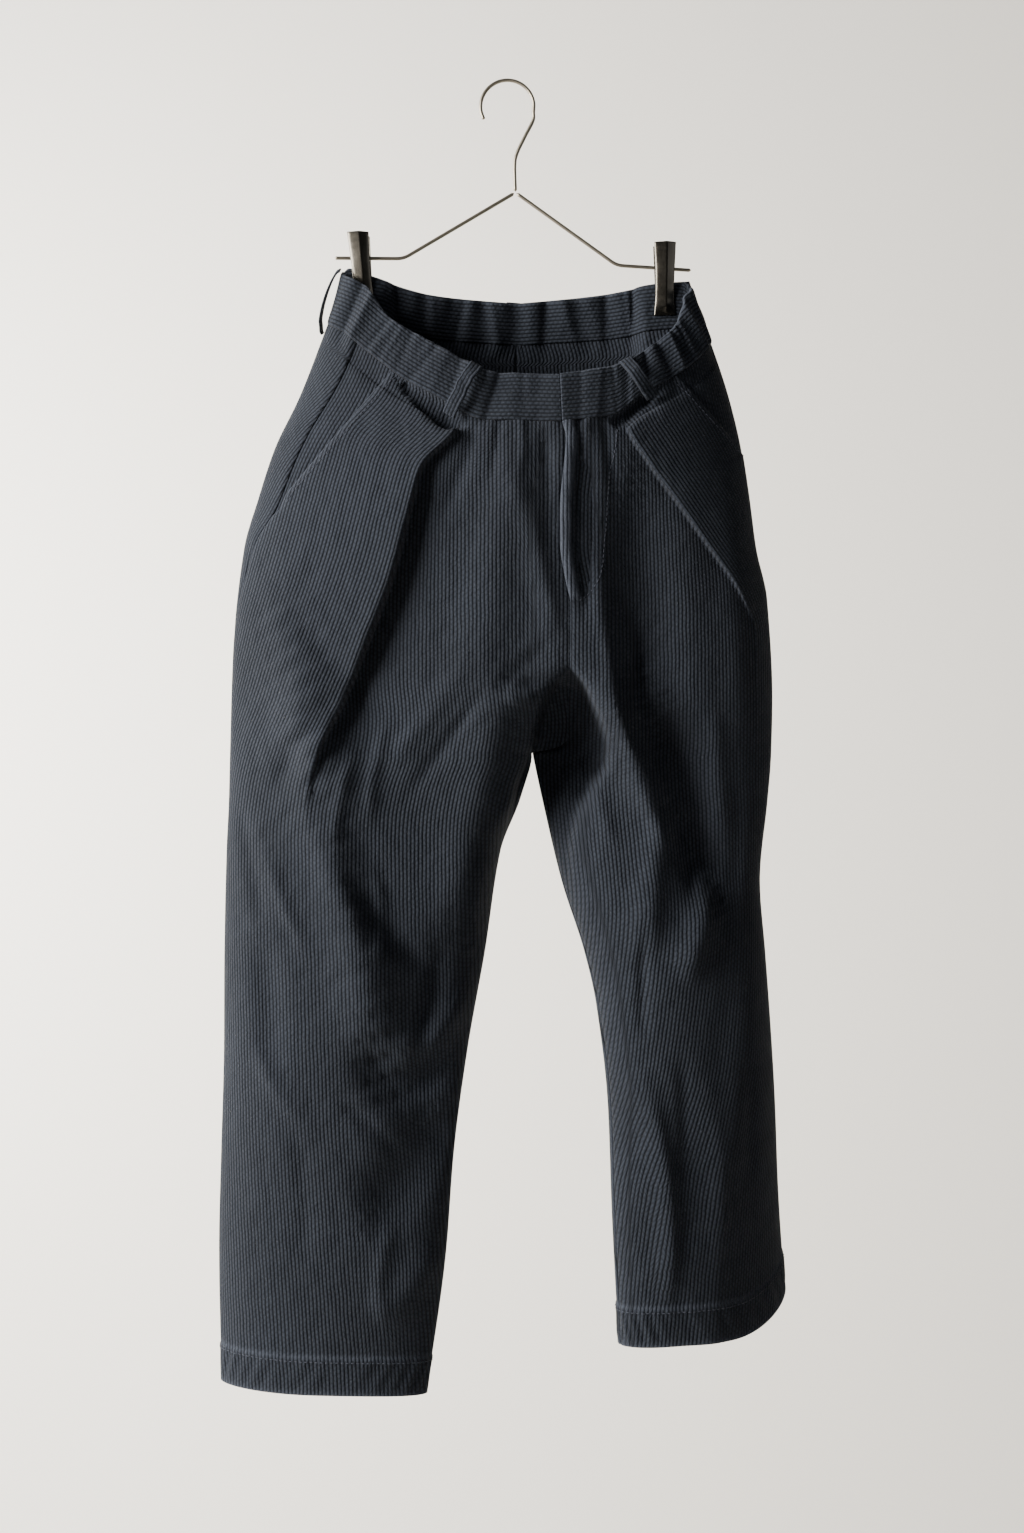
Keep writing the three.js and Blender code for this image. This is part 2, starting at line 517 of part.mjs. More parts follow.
// The place round the half where a line seen from the front crosses a row
function placeOfLine(half, row, lineX) {
  let low = 0.02;
  let high = 0.96;
  for (let i = 0; i < 40; i += 1) {
    const r = (low + high) / 2;
    const z = rowHeight(half, r, row);
    const s = half.section;
    const rise = riseAt("front", r, z);
    const inner = innerEdge(half, "front", r, z);
    const across = lerp((1 - Math.cos(Math.PI * r)) / 2, Math.sin((Math.PI * r) / 2), rise);
    const x = lerp(inner, s.outer(z), across);
    if ((x - lineX(z)) * half.sign < 0) low = r;
    else high = r;
  }
  return (low + high) / 2;
}

// The places of a front panel's columns in one row: closest by the centre, two at the pleat's edge, even beyond
const FRONT_INSIDE = 11;
const FRONT_OUTSIDE = 8;
function frontPlaces(half, row, end) {
  const fold = Math.min(placeOfLine(half, row, half.pleat.x), end - 0.12);
  const z = rowHeight(half, fold, row);
  const wide = Math.abs(half.section.outer(z) - (z > CROTCH ? centre.front(z) : half.section.inner(z)));
  const step = (stepAt(z) * 0.75) / wide;
  const lap = half === LEFT ? FLY.edge / wide : 0; // two columns more, for the fly's turned edge
  const places = lap ? [0, lap * 0.65] : [];
  for (let j = 0; j < FRONT_INSIDE; j += 1) places.push(lerp(lap, fold - step, (j / (FRONT_INSIDE - 1)) ** 1.35));
  for (let j = 0; j < FRONT_OUTSIDE; j += 1) places.push(lerp(fold, end, j / (FRONT_OUTSIDE - 1)));
  return places;
}

// Moves the first and last place of a row in by half a seam's gap
function withGaps(half, places, z) {
  const trim = (r, to) => {
    const speed = clothPoint(half, r, z).distanceTo(clothPoint(half, r + (to - r) * 0.2, z)) / Math.abs((to - r) * 0.2);
    return r + (Math.sign(to - r) * SEAM_GAP) / 2 / Math.max(speed, 40);
  };
  const last = places.length - 1;
  return places.map((r, j) => (j === 0 ? trim(r, places[1]) : j === last ? trim(r, places[last - 1]) : r));
}

// Outer and inner grids of a panel from the places of each row
function panelGrids(half, placesOf, firstRow, lastRow, wall, sunk, raised) {
  const outer = [];
  const inner = [];
  for (let row = firstRow; row <= lastRow; row += 1) {
    const places = placesOf(row);
    const middle = rowHeight(half, places[0], row);
    const trimmed = withGaps(half, places, middle);
    const outerRow = [];
    const innerRow = [];
    trimmed.forEach((r, j) => {
      const z = rowHeight(half, places[j], row);
      const p = clothPoint(half, r, z);
      const n = clothNormal(half, places[j], z);
      outerRow.push(p.clone().addScaledVector(n, raised(row, j) - sunk));
      innerRow.push(p.clone().addScaledVector(n, -wall - sunk));
    });
    outer.push(outerRow);
    inner.push(innerRow);
  }
  return [outer, inner];
}

// The pocket's mouth: the front panel ends there in the rows above the mouth's foot
function mouthPlace(half, row) {
  const { x0, z0, x1, z1 } = half.pocket;
  const line = (z) => lerp(x0, x1, THREE.MathUtils.clamp((z0 - z) / (z0 - z1), -0.2, 1.2));
  return placeOfLine(half, row, line);
}

function frontEnd(half, row) {
  const z = rowHeight(half, 0.9, row);
  const seam = half.outseam(z);
  const mouth = mouthPlace(half, row);
  const inMouth = z > half.pocket.z1;
  return inMouth ? Math.min(mouth, seam - 0.02) : seam;
}

function frontPanel(half) {
  const layer = half === LEFT ? flyLayer : hemLayer;
  return wallGeometry(
    ...panelGrids(half, (row) => frontPlaces(half, row, frontEnd(half, row)), 0, ROWS, CLOTH, 0, layer),
  );
}

const BACK_COLUMNS = 15;
function backPanel(half) {
  const placesOf = (row) => {
    const from = half.outseam(rowHeight(half, 0.9, row));
    const infront = Math.round((BACK_COLUMNS * (1 - from)) / (2 - from)); // columns before the outline's edge
    return [...Array(BACK_COLUMNS + 1).keys()].map((j) =>
      j < infront ? lerp(from, 1, j / infront) : lerp(Math.max(from, 1), 2, (j - infront) / (BACK_COLUMNS - infront)),
    );
  };
  return wallGeometry(...panelGrids(half, placesOf, 0, ROWS, CLOTH, 0, hemLayer));
}

// The pocket facing lies under the front panel's slanted edge and runs on to the outseam.
function pocketFacing(half) {
  let last = half.pocket.under - 1;
  while (rowHeight(half, 0.9, last + 1 - half.pocket.under) > half.pocket.z1) last += 1;
  const COLUMNS = 5;
  const placesOf = (row) => {
    const seam = half.outseam(rowHeight(half, 0.9, row));
    const from = Math.min(mouthPlace(half, row), seam - 0.02) - POCKET_TUCK;
    return [...Array(COLUMNS + 1).keys()].map((j) => lerp(from, seam, j / COLUMNS));
  };
  const sunk = CLOTH + FACING_SEAT;
  return wallGeometry(...panelGrids(half, placesOf, 0, last, CLOTH, sunk, () => 0));
}

// A point of the waistband: at is its place along the quarter, up is 0 at the seam and 1 at the top edge
function bandPoint(half, face, at, up, out) {
  const b = half.band[face];
  const placeAt = (share) => (face === "front" ? share : 2 - share);
  const t = lerp(b.seamAt(at), b.topAt(at), up);
  const z = lerp(half.seam[face](b.seamAt(at)) + BAND_GAP, b.topZ(at), up);
  const p = clothPoint(half, placeAt(t), z);
  const n = clothNormal(half, placeAt(t), z);
  return p.addScaledVector(n, out);
}

// The gathers of the elastic: the band's face rises and falls along its length, flat at the centre front
function gather(half, face, at, up, x) {
  const GATHERED = 230; // length of a quarter's band
  const wave = Math.cos((Math.PI * 2 * at * GATHERED) / GATHER.pitch) * GATHER[face];
  const swell = 0.75 + 0.25 * Math.cos(at * 9 + half.sign);
  const flat = face === "front" ? smoothstep(at, 0.12, 0.4) : 1;
  const off = Math.abs(x - half.clip.x);
  const nearClip = face === "back" ? smoothstep(off, CLIP_FLAT.wide, CLIP_FLAT.wide + CLIP_FLAT.fade) : 1;
  return wave * swell * flat * nearClip * (1 - smoothstep(at, 0.93, 1)) * lerp(0.7, 1, up);
}

function bandQuarter(half, face, from, to, count) {
  const UPS = [0, 0.5, 1];
  const grid = (out) =>
    UPS.map((up) =>
      [...Array(count + 1).keys()].map((j) => {
        const at = lerp(from, to, j / count);
        const x = bandPoint(half, face, at, up, 0).x;
        return bandPoint(half, face, at, up, out + gather(half, face, at, up, x));
      }),
    );
  return [grid(BAND_LAYER), grid(BAND_LAYER - BAND_WALL)];
}

// The front band of one half, from the centre front to the outseam's fold
function frontBand(half) {
  return wallGeometry(...bandQuarter(half, "front", 0, 0.995, 34));
}

// The back band runs from one outseam to the other in one piece.
function backBand() {
  const [rightOuter, rightInner] = bandQuarter(RIGHT, "back", 0.995, 0.006, 44);
  const [leftOuter, leftInner] = bandQuarter(LEFT, "back", 0.006, 0.995, 44);
  const join = (a, b) => a.map((row, i) => [...row, ...b[i]]);
  return wallGeometry(join(rightOuter, leftOuter), join(rightInner, leftInner));
}

// A belt loop stands off the band between its two sewn ends; at is its place along the quarter at each end.
function beltLoop(half, face, at, end, stand) {
  const STATIONS = 10;
  const outer = [];
  const inner = [];
  for (let i = 0; i <= STATIONS; i += 1) {
    const f = i / STATIONS;
    const b = half.band[face];
    const high = b.topZ(at) - b.seamZ(at);
    const up = lerp(1.02, -LOOP.below / high, f);
    const lean = lerp(at, end, f);
    const here = bandPoint(half, face, lean, up, 0);
    const under = (BAND_LAYER + gather(half, face, lean, Math.min(up, 1), here.x)) * smoothstep(up, -0.1, 0.02);
    const off = under + LOOP.seat + stand * Math.sin(Math.PI * f) ** 0.6;
    const beside = bandPoint(half, face, lean + 0.02, up, 0);
    const along = beside.sub(here).normalize();
    const t = lerp(b.seamAt(lean), b.topAt(lean), up);
    const normal = clothNormal(half, face === "front" ? t : 2 - t, here.z);
    const edge = (side, out) =>
      here
        .clone()
        .addScaledVector(along, (side * LOOP.wide) / 2)
        .addScaledVector(normal, out);
    outer.push([-1, 0, 1].map((side) => edge(side, off + LOOP.wall)));
    inner.push([-1, 0, 1].map((side) => edge(side, off)));
  }
  return wallGeometry(outer, inner);
}

// The fly's facing lies inside the left front, along the centre, with a rounded foot.
function flyFacing() {
  const ACROSS = 4;
  const sunk = CLOTH + FLY.seat;
  const SHARES = [0, 0.16, 0.33, 0.5, 0.66, 0.78, 0.88, 0.95, 1];
  const top = LEFT.seam.front(0) - 3;
  const outer = [];
  const inner = [];
  for (const share of SHARES) {
    const z = lerp(top, FLY.foot, share);
    const rest = z - FLY.foot;
    const round = rest < FLY.curve ? Math.sqrt(1 - (1 - rest / FLY.curve) ** 2) : 1;
    const reach = LEFT.section.outer(z) - centre.front(z);
    const places = [...Array(ACROSS + 1).keys()].map(
      (j) => (Math.asin((1 + (FLY.wide * Math.max(round, 0.12) * j) / ACROSS) / reach) * 2) / Math.PI,
    );
    const at = (r, out) => clothPoint(LEFT, r, z).addScaledVector(clothNormal(LEFT, r, z), out);
    outer.push(places.map((r) => at(r, -sunk)));
    inner.push(places.map((r) => at(r, -sunk - FLY.wall)));
  }
  return wallGeometry(outer, inner);
}

// The hanger
const HOOK = { radius: 24, x: -2.4, from: 208, to: -12 };
const PEAK = { x: 4.8, z: -99 };
const STEM = [
  { x: 20.6, z: -35 },
  { x: 13, z: -50 },
  { x: 6, z: -65 },
  { x: 4.2, z: -76 },
  { x: 4.8, z: -98.5 },
];
const RIGHT_ARM = { bendX: -96, bendZ: -159, endX: -158, endZ: -158.5 };
const LEFT_ARM = { bendX: 96, bendZ: -165, endX: 163, endZ: -169.5 };

function tubeAlong(path, diameter, steps) {
  const SIDES = 8;
  const shape = new THREE.Shape();
  for (let i = 0; i < SIDES; i += 1) {
    const a = (Math.PI * 2 * i) / SIDES;
    const point = [(Math.cos(a) * diameter) / 2, (Math.sin(a) * diameter) / 2];
    if (i === 0) shape.moveTo(...point);
    else shape.lineTo(...point);
  }
  shape.closePath();
  return new THREE.ExtrudeGeometry(shape, { steps, extrudePath: path, bevelEnabled: false });
}

function hangerHook() {
  const points = [];
  const ARC = 10;
  const middle = WIRE / 2 - HOOK.radius;
  for (let i = 0; i <= ARC; i += 1) {
    const a = THREE.MathUtils.degToRad(lerp(HOOK.from, HOOK.to, i / ARC));
    const x = HOOK.x + HOOK.radius * Math.cos(a);
    points.push(new THREE.Vector3(x, CLIP_MIDDLE, middle + HOOK.radius * Math.sin(a)));
  }
  STEM.forEach(({ x, z }) => points.push(new THREE.Vector3(x, CLIP_MIDDLE, z)));
  return tubeAlong(new THREE.CatmullRomCurve3(points), WIRE, 48);
}

function hangerArm(half, arm) {
  const side = half.sign;
  const start = new THREE.Vector3(PEAK.x + side * 1.1, CLIP_MIDDLE, PEAK.z - 1.2);
  const bend = new THREE.Vector3(arm.bendX, CLIP_MIDDLE, arm.bendZ);
  const end = new THREE.Vector3(arm.endX, CLIP_MIDDLE, arm.endZ);
  const ROUND = 6;
  const before = bend.clone().add(start.clone().sub(bend).setLength(ROUND));
  const after = bend.clone().add(end.clone().sub(bend).setLength(ROUND));
  const path = new THREE.CurvePath();
  path.add(new THREE.LineCurve3(start, before));
  path.add(new THREE.QuadraticBezierCurve3(before, bend, after));
  path.add(new THREE.LineCurve3(after, end));
  return tubeAlong(path, WIRE, 40);
}

// A clip's jaw: a pressed metal blade with a middle ridge, closed on the cloth at its foot and spread at the wire
function clipJaw(clip, side) {
  const ROWS_HIGH = 10;
  const outer = [];
  const inner = [];
  const top = clip.wire + CLIP.above;
  const wide = through(
    [
      { down: 0, wide: CLIP.top },
      { down: 0.62, wide: CLIP.waist },
      { down: 1, wide: CLIP.foot },
    ],
    "down",
    "wide",
  );
  const away = through(
    [
      { down: 0, away: CLIP.spread },
      { down: 0.36, away: CLIP.spread },
      { down: 0.62, away: BAND_WALL / 2 + 2.6 },
      { down: 0.8, away: BAND_WALL / 2 + 0.5 },
      { down: 1, away: BAND_WALL / 2 + 0.5 },
    ],
    "down",
    "away",
  );
  for (let i = 0; i <= ROWS_HIGH; i += 1) {
    const down = i / ROWS_HIGH;
    const z = top - CLIP.high * down;
    const x = clip.x + clip.lean * (down - 0.4) * 2;
    const y = CLIP_MIDDLE + side * away(down);
    const ridge = 1.6 * (1 - smoothstep(down, 0.85, 1));
    const across = [-1, -0.25, 0.25, 1].map((u) => ({
      x: x + (u * wide(down)) / 2,
      out: ridge * (1 - Math.abs(u)),
    }));
    outer.push(across.map((p) => new THREE.Vector3(p.x, y + side * (p.out + CLIP.wall), z)));
    inner.push(across.map((p) => new THREE.Vector3(p.x, y + side * p.out, z)));
  }
  return wallGeometry(outer, inner);
}

// The coiled spring of a clip, as a sleeve round the wire
function clipSpring(clip, arm) {
  const profile = [
    [SPRING.bore, -SPRING.long / 2],
    [SPRING.radius, -SPRING.long / 2],
    [SPRING.radius, SPRING.long / 2],
    [SPRING.bore, SPRING.long / 2],
    [SPRING.bore, -SPRING.long / 2],
  ].map(([radius, along]) => new THREE.Vector2(radius, along));
  const geometry = new THREE.LatheGeometry(profile, 12);
  geometry.rotateZ(-Math.PI / 2);
  const slope = Math.atan2(arm.endZ - arm.bendZ, arm.endX - arm.bendX);
  geometry.rotateY(-(Math.abs(slope) > Math.PI / 2 ? slope - Math.PI : slope));
  const share = (clip.x - arm.bendX) / (arm.endX - arm.bendX);
  geometry.translate(clip.x, CLIP_MIDDLE, lerp(arm.bendZ, arm.endZ, share));
  return geometry;
}

const cloth = new THREE.MeshStandardMaterial({ color: 0x33353e, roughness: 0.95, metalness: 0 });
const bandCloth = new THREE.MeshStandardMaterial({ color: 0x383a44, roughness: 0.95, metalness: 0 });
const loopCloth = new THREE.MeshStandardMaterial({ color: 0x3b3d47, roughness: 0.95, metalness: 0 });
const steel = new THREE.MeshStandardMaterial({ color: 0x8c877c, roughness: 0.3, metalness: 1 });
const wireSteel = new THREE.MeshStandardMaterial({ color: 0x6c675e, roughness: 0.35, metalness: 1 });

const trousers = new THREE.Group();
const hanger = new THREE.Group();
const root = new THREE.Group();
root.add(trousers, hanger);

function add(group, name, geometry, material) {
  const mesh = new THREE.Mesh(geometry, material);
  mesh.name = name;
  group.add(mesh);
}

for (const [name, half] of [
  ["right", RIGHT],
  ["left", LEFT],
]) {
  add(trousers, `front_${name}`, frontPanel(half), cloth);
  add(trousers, `back_${name}`, backPanel(half), cloth);
  add(trousers, `pocket_facing_${name}`, pocketFacing(half), cloth);
  add(trousers, `band_front_${name}`, frontBand(half), bandCloth);
}
add(trousers, "belt_loop_side_right", beltLoop(RIGHT, "front", 0.99, 0.99, 6.8), loopCloth);
add(trousers, "belt_loop_side_left", beltLoop(LEFT, "back", 0.83, 0.83, 8), loopCloth);
add(trousers, "belt_loop_front_right", beltLoop(RIGHT, "front", 0.29, 0.32, 9), loopCloth);
add(trousers, "belt_loop_front_left", beltLoop(LEFT, "front", 0.27, 0.4, 9), loopCloth);
add(trousers, "belt_loop_back", beltLoop(RIGHT, "back", 0.012, 0.012, 8), loopCloth);
add(trousers, "band_back", backBand(), bandCloth);
add(trousers, "fly_facing", flyFacing(), cloth);
add(hanger, "hanger_hook", hangerHook(), wireSteel);
add(hanger, "hanger_arm_right", hangerArm(RIGHT, RIGHT_ARM), wireSteel);
add(hanger, "hanger_arm_left", hangerArm(LEFT, LEFT_ARM), wireSteel);
for (const [name, clip, arm] of [
  ["right", RIGHT_CLIP, RIGHT_ARM],
  ["left", LEFT_CLIP, LEFT_ARM],
]) {
  add(hanger, `clip_jaw_inner_${name}`, clipJaw(clip, -1), steel);
  add(hanger, `clip_jaw_outer_${name}`, clipJaw(clip, 1), steel);
  add(hanger, `clip_spring_${name}`, clipSpring(clip, arm), steel);
}

export default root;
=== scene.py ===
import math

import bpy
import numpy as np
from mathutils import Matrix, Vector


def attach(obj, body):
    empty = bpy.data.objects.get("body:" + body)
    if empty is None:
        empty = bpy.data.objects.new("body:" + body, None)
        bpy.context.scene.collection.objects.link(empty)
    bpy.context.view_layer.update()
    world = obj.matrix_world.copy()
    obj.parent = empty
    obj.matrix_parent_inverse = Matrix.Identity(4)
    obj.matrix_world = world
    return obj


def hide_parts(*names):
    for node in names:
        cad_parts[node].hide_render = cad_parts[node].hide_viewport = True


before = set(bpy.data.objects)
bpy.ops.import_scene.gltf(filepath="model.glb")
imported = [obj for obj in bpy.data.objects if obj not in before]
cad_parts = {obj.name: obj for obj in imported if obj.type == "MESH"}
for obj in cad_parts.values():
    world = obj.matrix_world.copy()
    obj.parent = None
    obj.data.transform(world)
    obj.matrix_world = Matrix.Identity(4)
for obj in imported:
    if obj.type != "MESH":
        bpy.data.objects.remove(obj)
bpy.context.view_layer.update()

# The cloth is worked out again from tables like the solids', on a much closer grid. Lengths are millimetres
# until the meshes are made, where they become metres.
MM = 0.001

CLOTH = 1.6  # thickness of one layer
SEAM_GAP = -0.1
# How far from a seam, as a share of half the ring, the folds, the creases and the pleat take to grow
FADE = {"fold": 0.16, "crease": 0.05, "centre": 0.08, "side": 0.1}
TURN_OVER = 140.0  # the legs turn over this much height below the crotch
BAND_WALL = 4.0
BAND_LAYER = 1.0
BAND_GAP = -0.4
HEM_DEPTH = 34.0
HEM_LAYER = 0.8  # how much the folded hem stands out
HEM_WEAR = {"edge": 1.1, "fade": 2.4, "ridge": 0.6, "ridge_wide": 2.2}
LOOP = {"wide": 12.0, "wall": 1.8, "below": 9.0, "seat": 0.8}
FLY = {"wide": 46.0, "wall": 1.4, "seat": 2.4, "foot": -472.0, "curve": 46.0, "edge": 7.5, "roll": 2.2}
POCKET_TUCK = 0.05
GATHER = {"pitch": 26.0, "back": 2.2, "front": 1.5, "length": 230.0, "pinch": 1.45, "run_on": 11.0}
WIRE = 3.2
CLIP = {"high": 65.0, "above": 22.0, "wall": 1.1, "top": 19.5, "waist": 16.5, "foot": 19.0}
JAW = {"spread": 7.1, "ridge": 3.2, "ridge_at": 0.15}
SPRING = {"radius": 7.1, "inset": 0.9, "long": 13.0, "wire": 1.6}
RIB = 3.4  # from one rib of the weave to the next
GRAIN = 4.6  # length of one grain along a rib
# How fine each unevenness of the cloth is
NOISE = {"wander": 40.0, "fibre": 2600.0, "lumps": 420.0, "waves": 48.0, "fade": 9.0, "metal": 300.0}

CROTCH = -604.0
# Each section: height, outer and inner x, the front, side and back y, degrees of turn, fullness of the edge
SECTION = ("z", "outer", "inner", "front", "side", "back", "turn", "edge")
N = None  # above the crotch a section has no inner edge
RIGHT_SECTIONS = [
    (-165, -148, N, -48, -10, 6, 0, 0.9), (-196, -155, N, -58, -9, 14, 0, 0.9),
    (-241, -171, N, -66, -8, 24, 0, 1), (-286, -189, N, -73, -6, 32, 0, 1),
    (-331, -211, N, -77, -4, 38, 0, 1), (-376, -226, N, -78, -3, 43, 0, 1),
    (-421, -239, N, -78, -2, 46, 0, 1), (-511, -249, N, -74, 0, 50, 0, 1),
    (-604, -252, 20, -66, 0, 50, 0, 1), (-646, -253, 9, -63, 0, 48, 0, 1),
    (-691, -255, -8, -60, 0, 46, 0, 1), (-781, -257, -22, -58, 0, 43, 0, 1.05),
    (-871, -258, -38, -54, 0, 40, -2, 1.1), (-961, -261, -50, -48, 0, 36, -4, 1.15),
    (-1051, -263, -57, -42, 0, 33, -4, 1.15), (-1180, -260, -75, -33, 0, 28, -3, 1.1),
]
LEFT_SECTIONS = [
    (-165, 158, N, -48, -10, 6, 0, 0.9), (-196, 165, N, -58, -9, 14, 0, 0.9),
    (-241, 182, N, -66, -8, 24, 0, 1), (-286, 197, N, -73, -6, 32, 0, 1),
    (-331, 208, N, -77, -4, 38, 0, 1), (-376, 215, N, -78, -3, 43, 0, 1),
    (-421, 221, N, -78, -2, 46, 0, 1), (-466, 231, N, -77, -1, 48, 0, 1),
    (-556, 236, N, -71, 0, 50, 2, 1), (-604, 235, 20, -66, 0, 50, 4, 1),
    (-646, 232, 29, -62, 0, 48, 7, 1), (-718, 226, 46, -58, 0, 46, 12, 1),
    (-781, 230, 66, -56, 0, 44, 17, 1), (-826, 233, 76, -54, 0, 42, 20, 1),
    (-916, 239, 86, -50, 0, 38, 26, 1), (-1006, 244, 89, -44, 0, 34, 30, 1),
    (-1140, 255, 96, -38, 0, 30, 31, 1),
]
CENTRE_FRONT = [
    (-165, 40), (-318, 45), (-332, 48), (-395, 43), (-423, 43), (-457, 48), (-476, 52), (-590, 52),
    (-599, 44), (-604, 20),
]
CENTRE_BACK = [(-165, 6), (-318, 6), (-466, 10), (-545, 16), (-604, 20)]
RISE = {"front": (-522, 1.5), "back": (-500, 2.0), "near": 0.08, "drop": 30.0, "below": 190.0}
FLOW = {"from": -500.0, "to": -690.0, "near": 0.16}
# The hollow under the fork: z, its two edges seen from the front, and how much of the front's depth is left
FORK = [
    (-532, 50, 54, 1), (-539, 42, 62, 0.7), (-547, 35, 68, 0.46), (-562, 27, 75, 0.32),
    (-580, 22, 83, 0.22), (-597, 18, 88, 0.16), (-612, 12, 87, 0.14), (-631, 4, 76, 0.2),
    (-665, -4, 58, 0.45), (-700, -14, 52, 0.75), (-730, -22, 52, 1),
]
FORK_EDGE = {"left": 5.0, "right": 6.5}

# at, where the seam is round the ring and how high, then the same for the top edge
BAND_RIGHT_FRONT = [
    (0, 0, -319, 0, -278), (0.2, 0.18, -316, 0.16, -275), (0.35, 0.27, -300, 0.235, -264),
    (0.5, 0.4, -279, 0.35, -245), (0.7, 0.56, -252, 0.51, -222), (0.85, 0.74, -230, 0.68, -190),
    (1, 1, -219, 1, -173),
]
BAND_RIGHT_BACK = [
    (0, 0, -232, 0, -196), (0.3, 0.3, -227, 0.3, -190), (0.65, 0.65, -213, 0.65, -174),
    (0.85, 0.85, -210, 0.85, -168), (1, 1, -219, 1, -173),
]
BAND_LEFT_FRONT = [
    (0, 0, -319, 0, -278), (0.2, 0.18, -312, 0.2, -269), (0.35, 0.29, -295, 0.3, -259),
    (0.5, 0.45, -277, 0.42, -245), (0.7, 0.65, -257, 0.58, -225), (0.85, 0.82, -242, 0.74, -199),
    (1, 1, -234, 1, -187),
]
BAND_LEFT_BACK = [
    (0, 0, -232, 0, -196), (0.3, 0.3, -228, 0.3, -190), (0.65, 0.65, -222, 0.65, -181),
    (0.85, 0.85, -223, 0.85, -180), (1, 1, -234, 1, -187),
]
RIGHT_OUTSEAM = [
    (-218, 0.62), (-255, 0.64), (-305, 0.685), (-337, 0.71), (-386, 0.74), (-415, 0.81), (-444, 0.86),
    (-480, 0.94), (-520, 1), (-1200, 1),
]
LEFT_OUTSEAM = [(-218, 1), (-1200, 1)]
RIGHT_HEM = {"inner": -1177, "front": -1171, "outer": -1168, "back": -1172}
LEFT_HEM = {"inner": -1122, "front": -1121, "outer": -1089, "back": -1099}

# z, the folded edge's x, how far it stands out, how deep the cloth behind it sinks
RIGHT_PLEAT = [
    (-300, -38, 3, 1), (-326, -48, 5, 3), (-357, -77, 8, 4), (-387, -86, 10, 8), (-447, -102, 10, 11),
    (-507, -125, 10, 12), (-559, -146, 8, 10), (-600, -166, 4, 7), (-640, -178, 0, 3),
    (-680, -182, 0, 0), (-1180, -160, 0, 0),
]
LEFT_PLEAT = [
    (-300, 94, 3, 1), (-327, 103, 6, 3), (-353, 120, 6, 4), (-387, 146, 6, 4), (-422, 172, 5, 4),
    (-469, 205, 3, 2), (-500, 217, 1, 0), (-645, 218, 0.5, 0), (-717, 214, 1, 0), (-865, 195, 5, 0),
    (-992, 165, 6, 0), (-1105, 156, 5, 0), (-1140, 155, 5, 0),
]
PLEAT = {"step": 4.0, "left_share": 0.6, "outward": 70.0, "inward": 44.0, "drop": 18.0, "slip": 2.5}
BEHIND = 2.0  # how deep the pleat's fold starts behind the band
DEEPER = 1.2  # the folds stand out by this much more than in the solids
CREASE = {"step": 34.0, "from": -600.0, "to": -780.0}  # the soft ridge the pleat turns into down the leg

# Large folds, most as in the solids: two ends and the middle as seen from the front, half width and height
RIGHT_FRONT_FOLDS = [
    (-206, -470, -142, -690, -104, -915, 28, 14), (-185, -607, -97, -740, -114, -777, 18, -8),
    (8, -515, -26, -645, -48, -785, 28, 11), (-133, -842, -104, -932, -50, -867, 18, -12),
    (-38, -805, -52, -862, -99, -869, 12, 7), (-66, -905, -66, -965, -130, -1020, 24, -9),
    (-58, -1042, -80, -1076, -117, -1105, 14, 4), (-223, -763, -205, -826, -211, -889, 14, -4),
    (22, -330, 36, -370, 44, -410, 9, -4), (12, -345, -6, -440, -40, -560, 22, 5),
]
LEFT_FRONT_FOLDS = [
    (106, -342, 112, -470, 120, -568, 30, -14), (58, -520, 88, -590, 154, -672, 18, 13),
    (120, -530, 160, -640, 172, -750, 22, -14), (138, -650, 112, -700, 97, -790, 12, 6),
    (90, -870, 118, -985, 112, -1095, 10, 6), (166, -700, 160, -760, 128, -800, 13, 7),
]
RIGHT_BACK_FOLDS = [
    (-128, -240, -100, -400, -20, -560, 26, -9), (-170, -330, -150, -560, -60, -680, 26, 9),
    (-200, -640, -150, -800, -80, -900, 28, -10), (-90, -700, -110, -860, -150, -1000, 24, 8),
    (-210, -900, -190, -1000, -170, -1120, 26, -5),
]
LEFT_BACK_FOLDS = [
    (132, -250, 110, -400, 50, -560, 26, -9), (180, -340, 160, -550, 100, -660, 26, 9),
    (190, -620, 150, -760, 110, -860, 26, -10), (120, -700, 150, -860, 170, -980, 22, 7),
]
RIGHT_POCKET = {"x0": -104, "z0": -272, "x1": -207, "z1": -386}
LEFT_POCKET = {"x0": 148, "z0": -277, "x1": 206, "z1": -336}
RIGHT_CLIP = {"x": -134, "wire": -159, "lean": 3}
LEFT_CLIP = {"x": 139, "wire": -168, "lean": 0}
CLIP_FLAT = {"wide": 15.0, "fade": 14.0, "from": -300.0, "to": -225.0}
CLIP_MIDDLE = 0.0

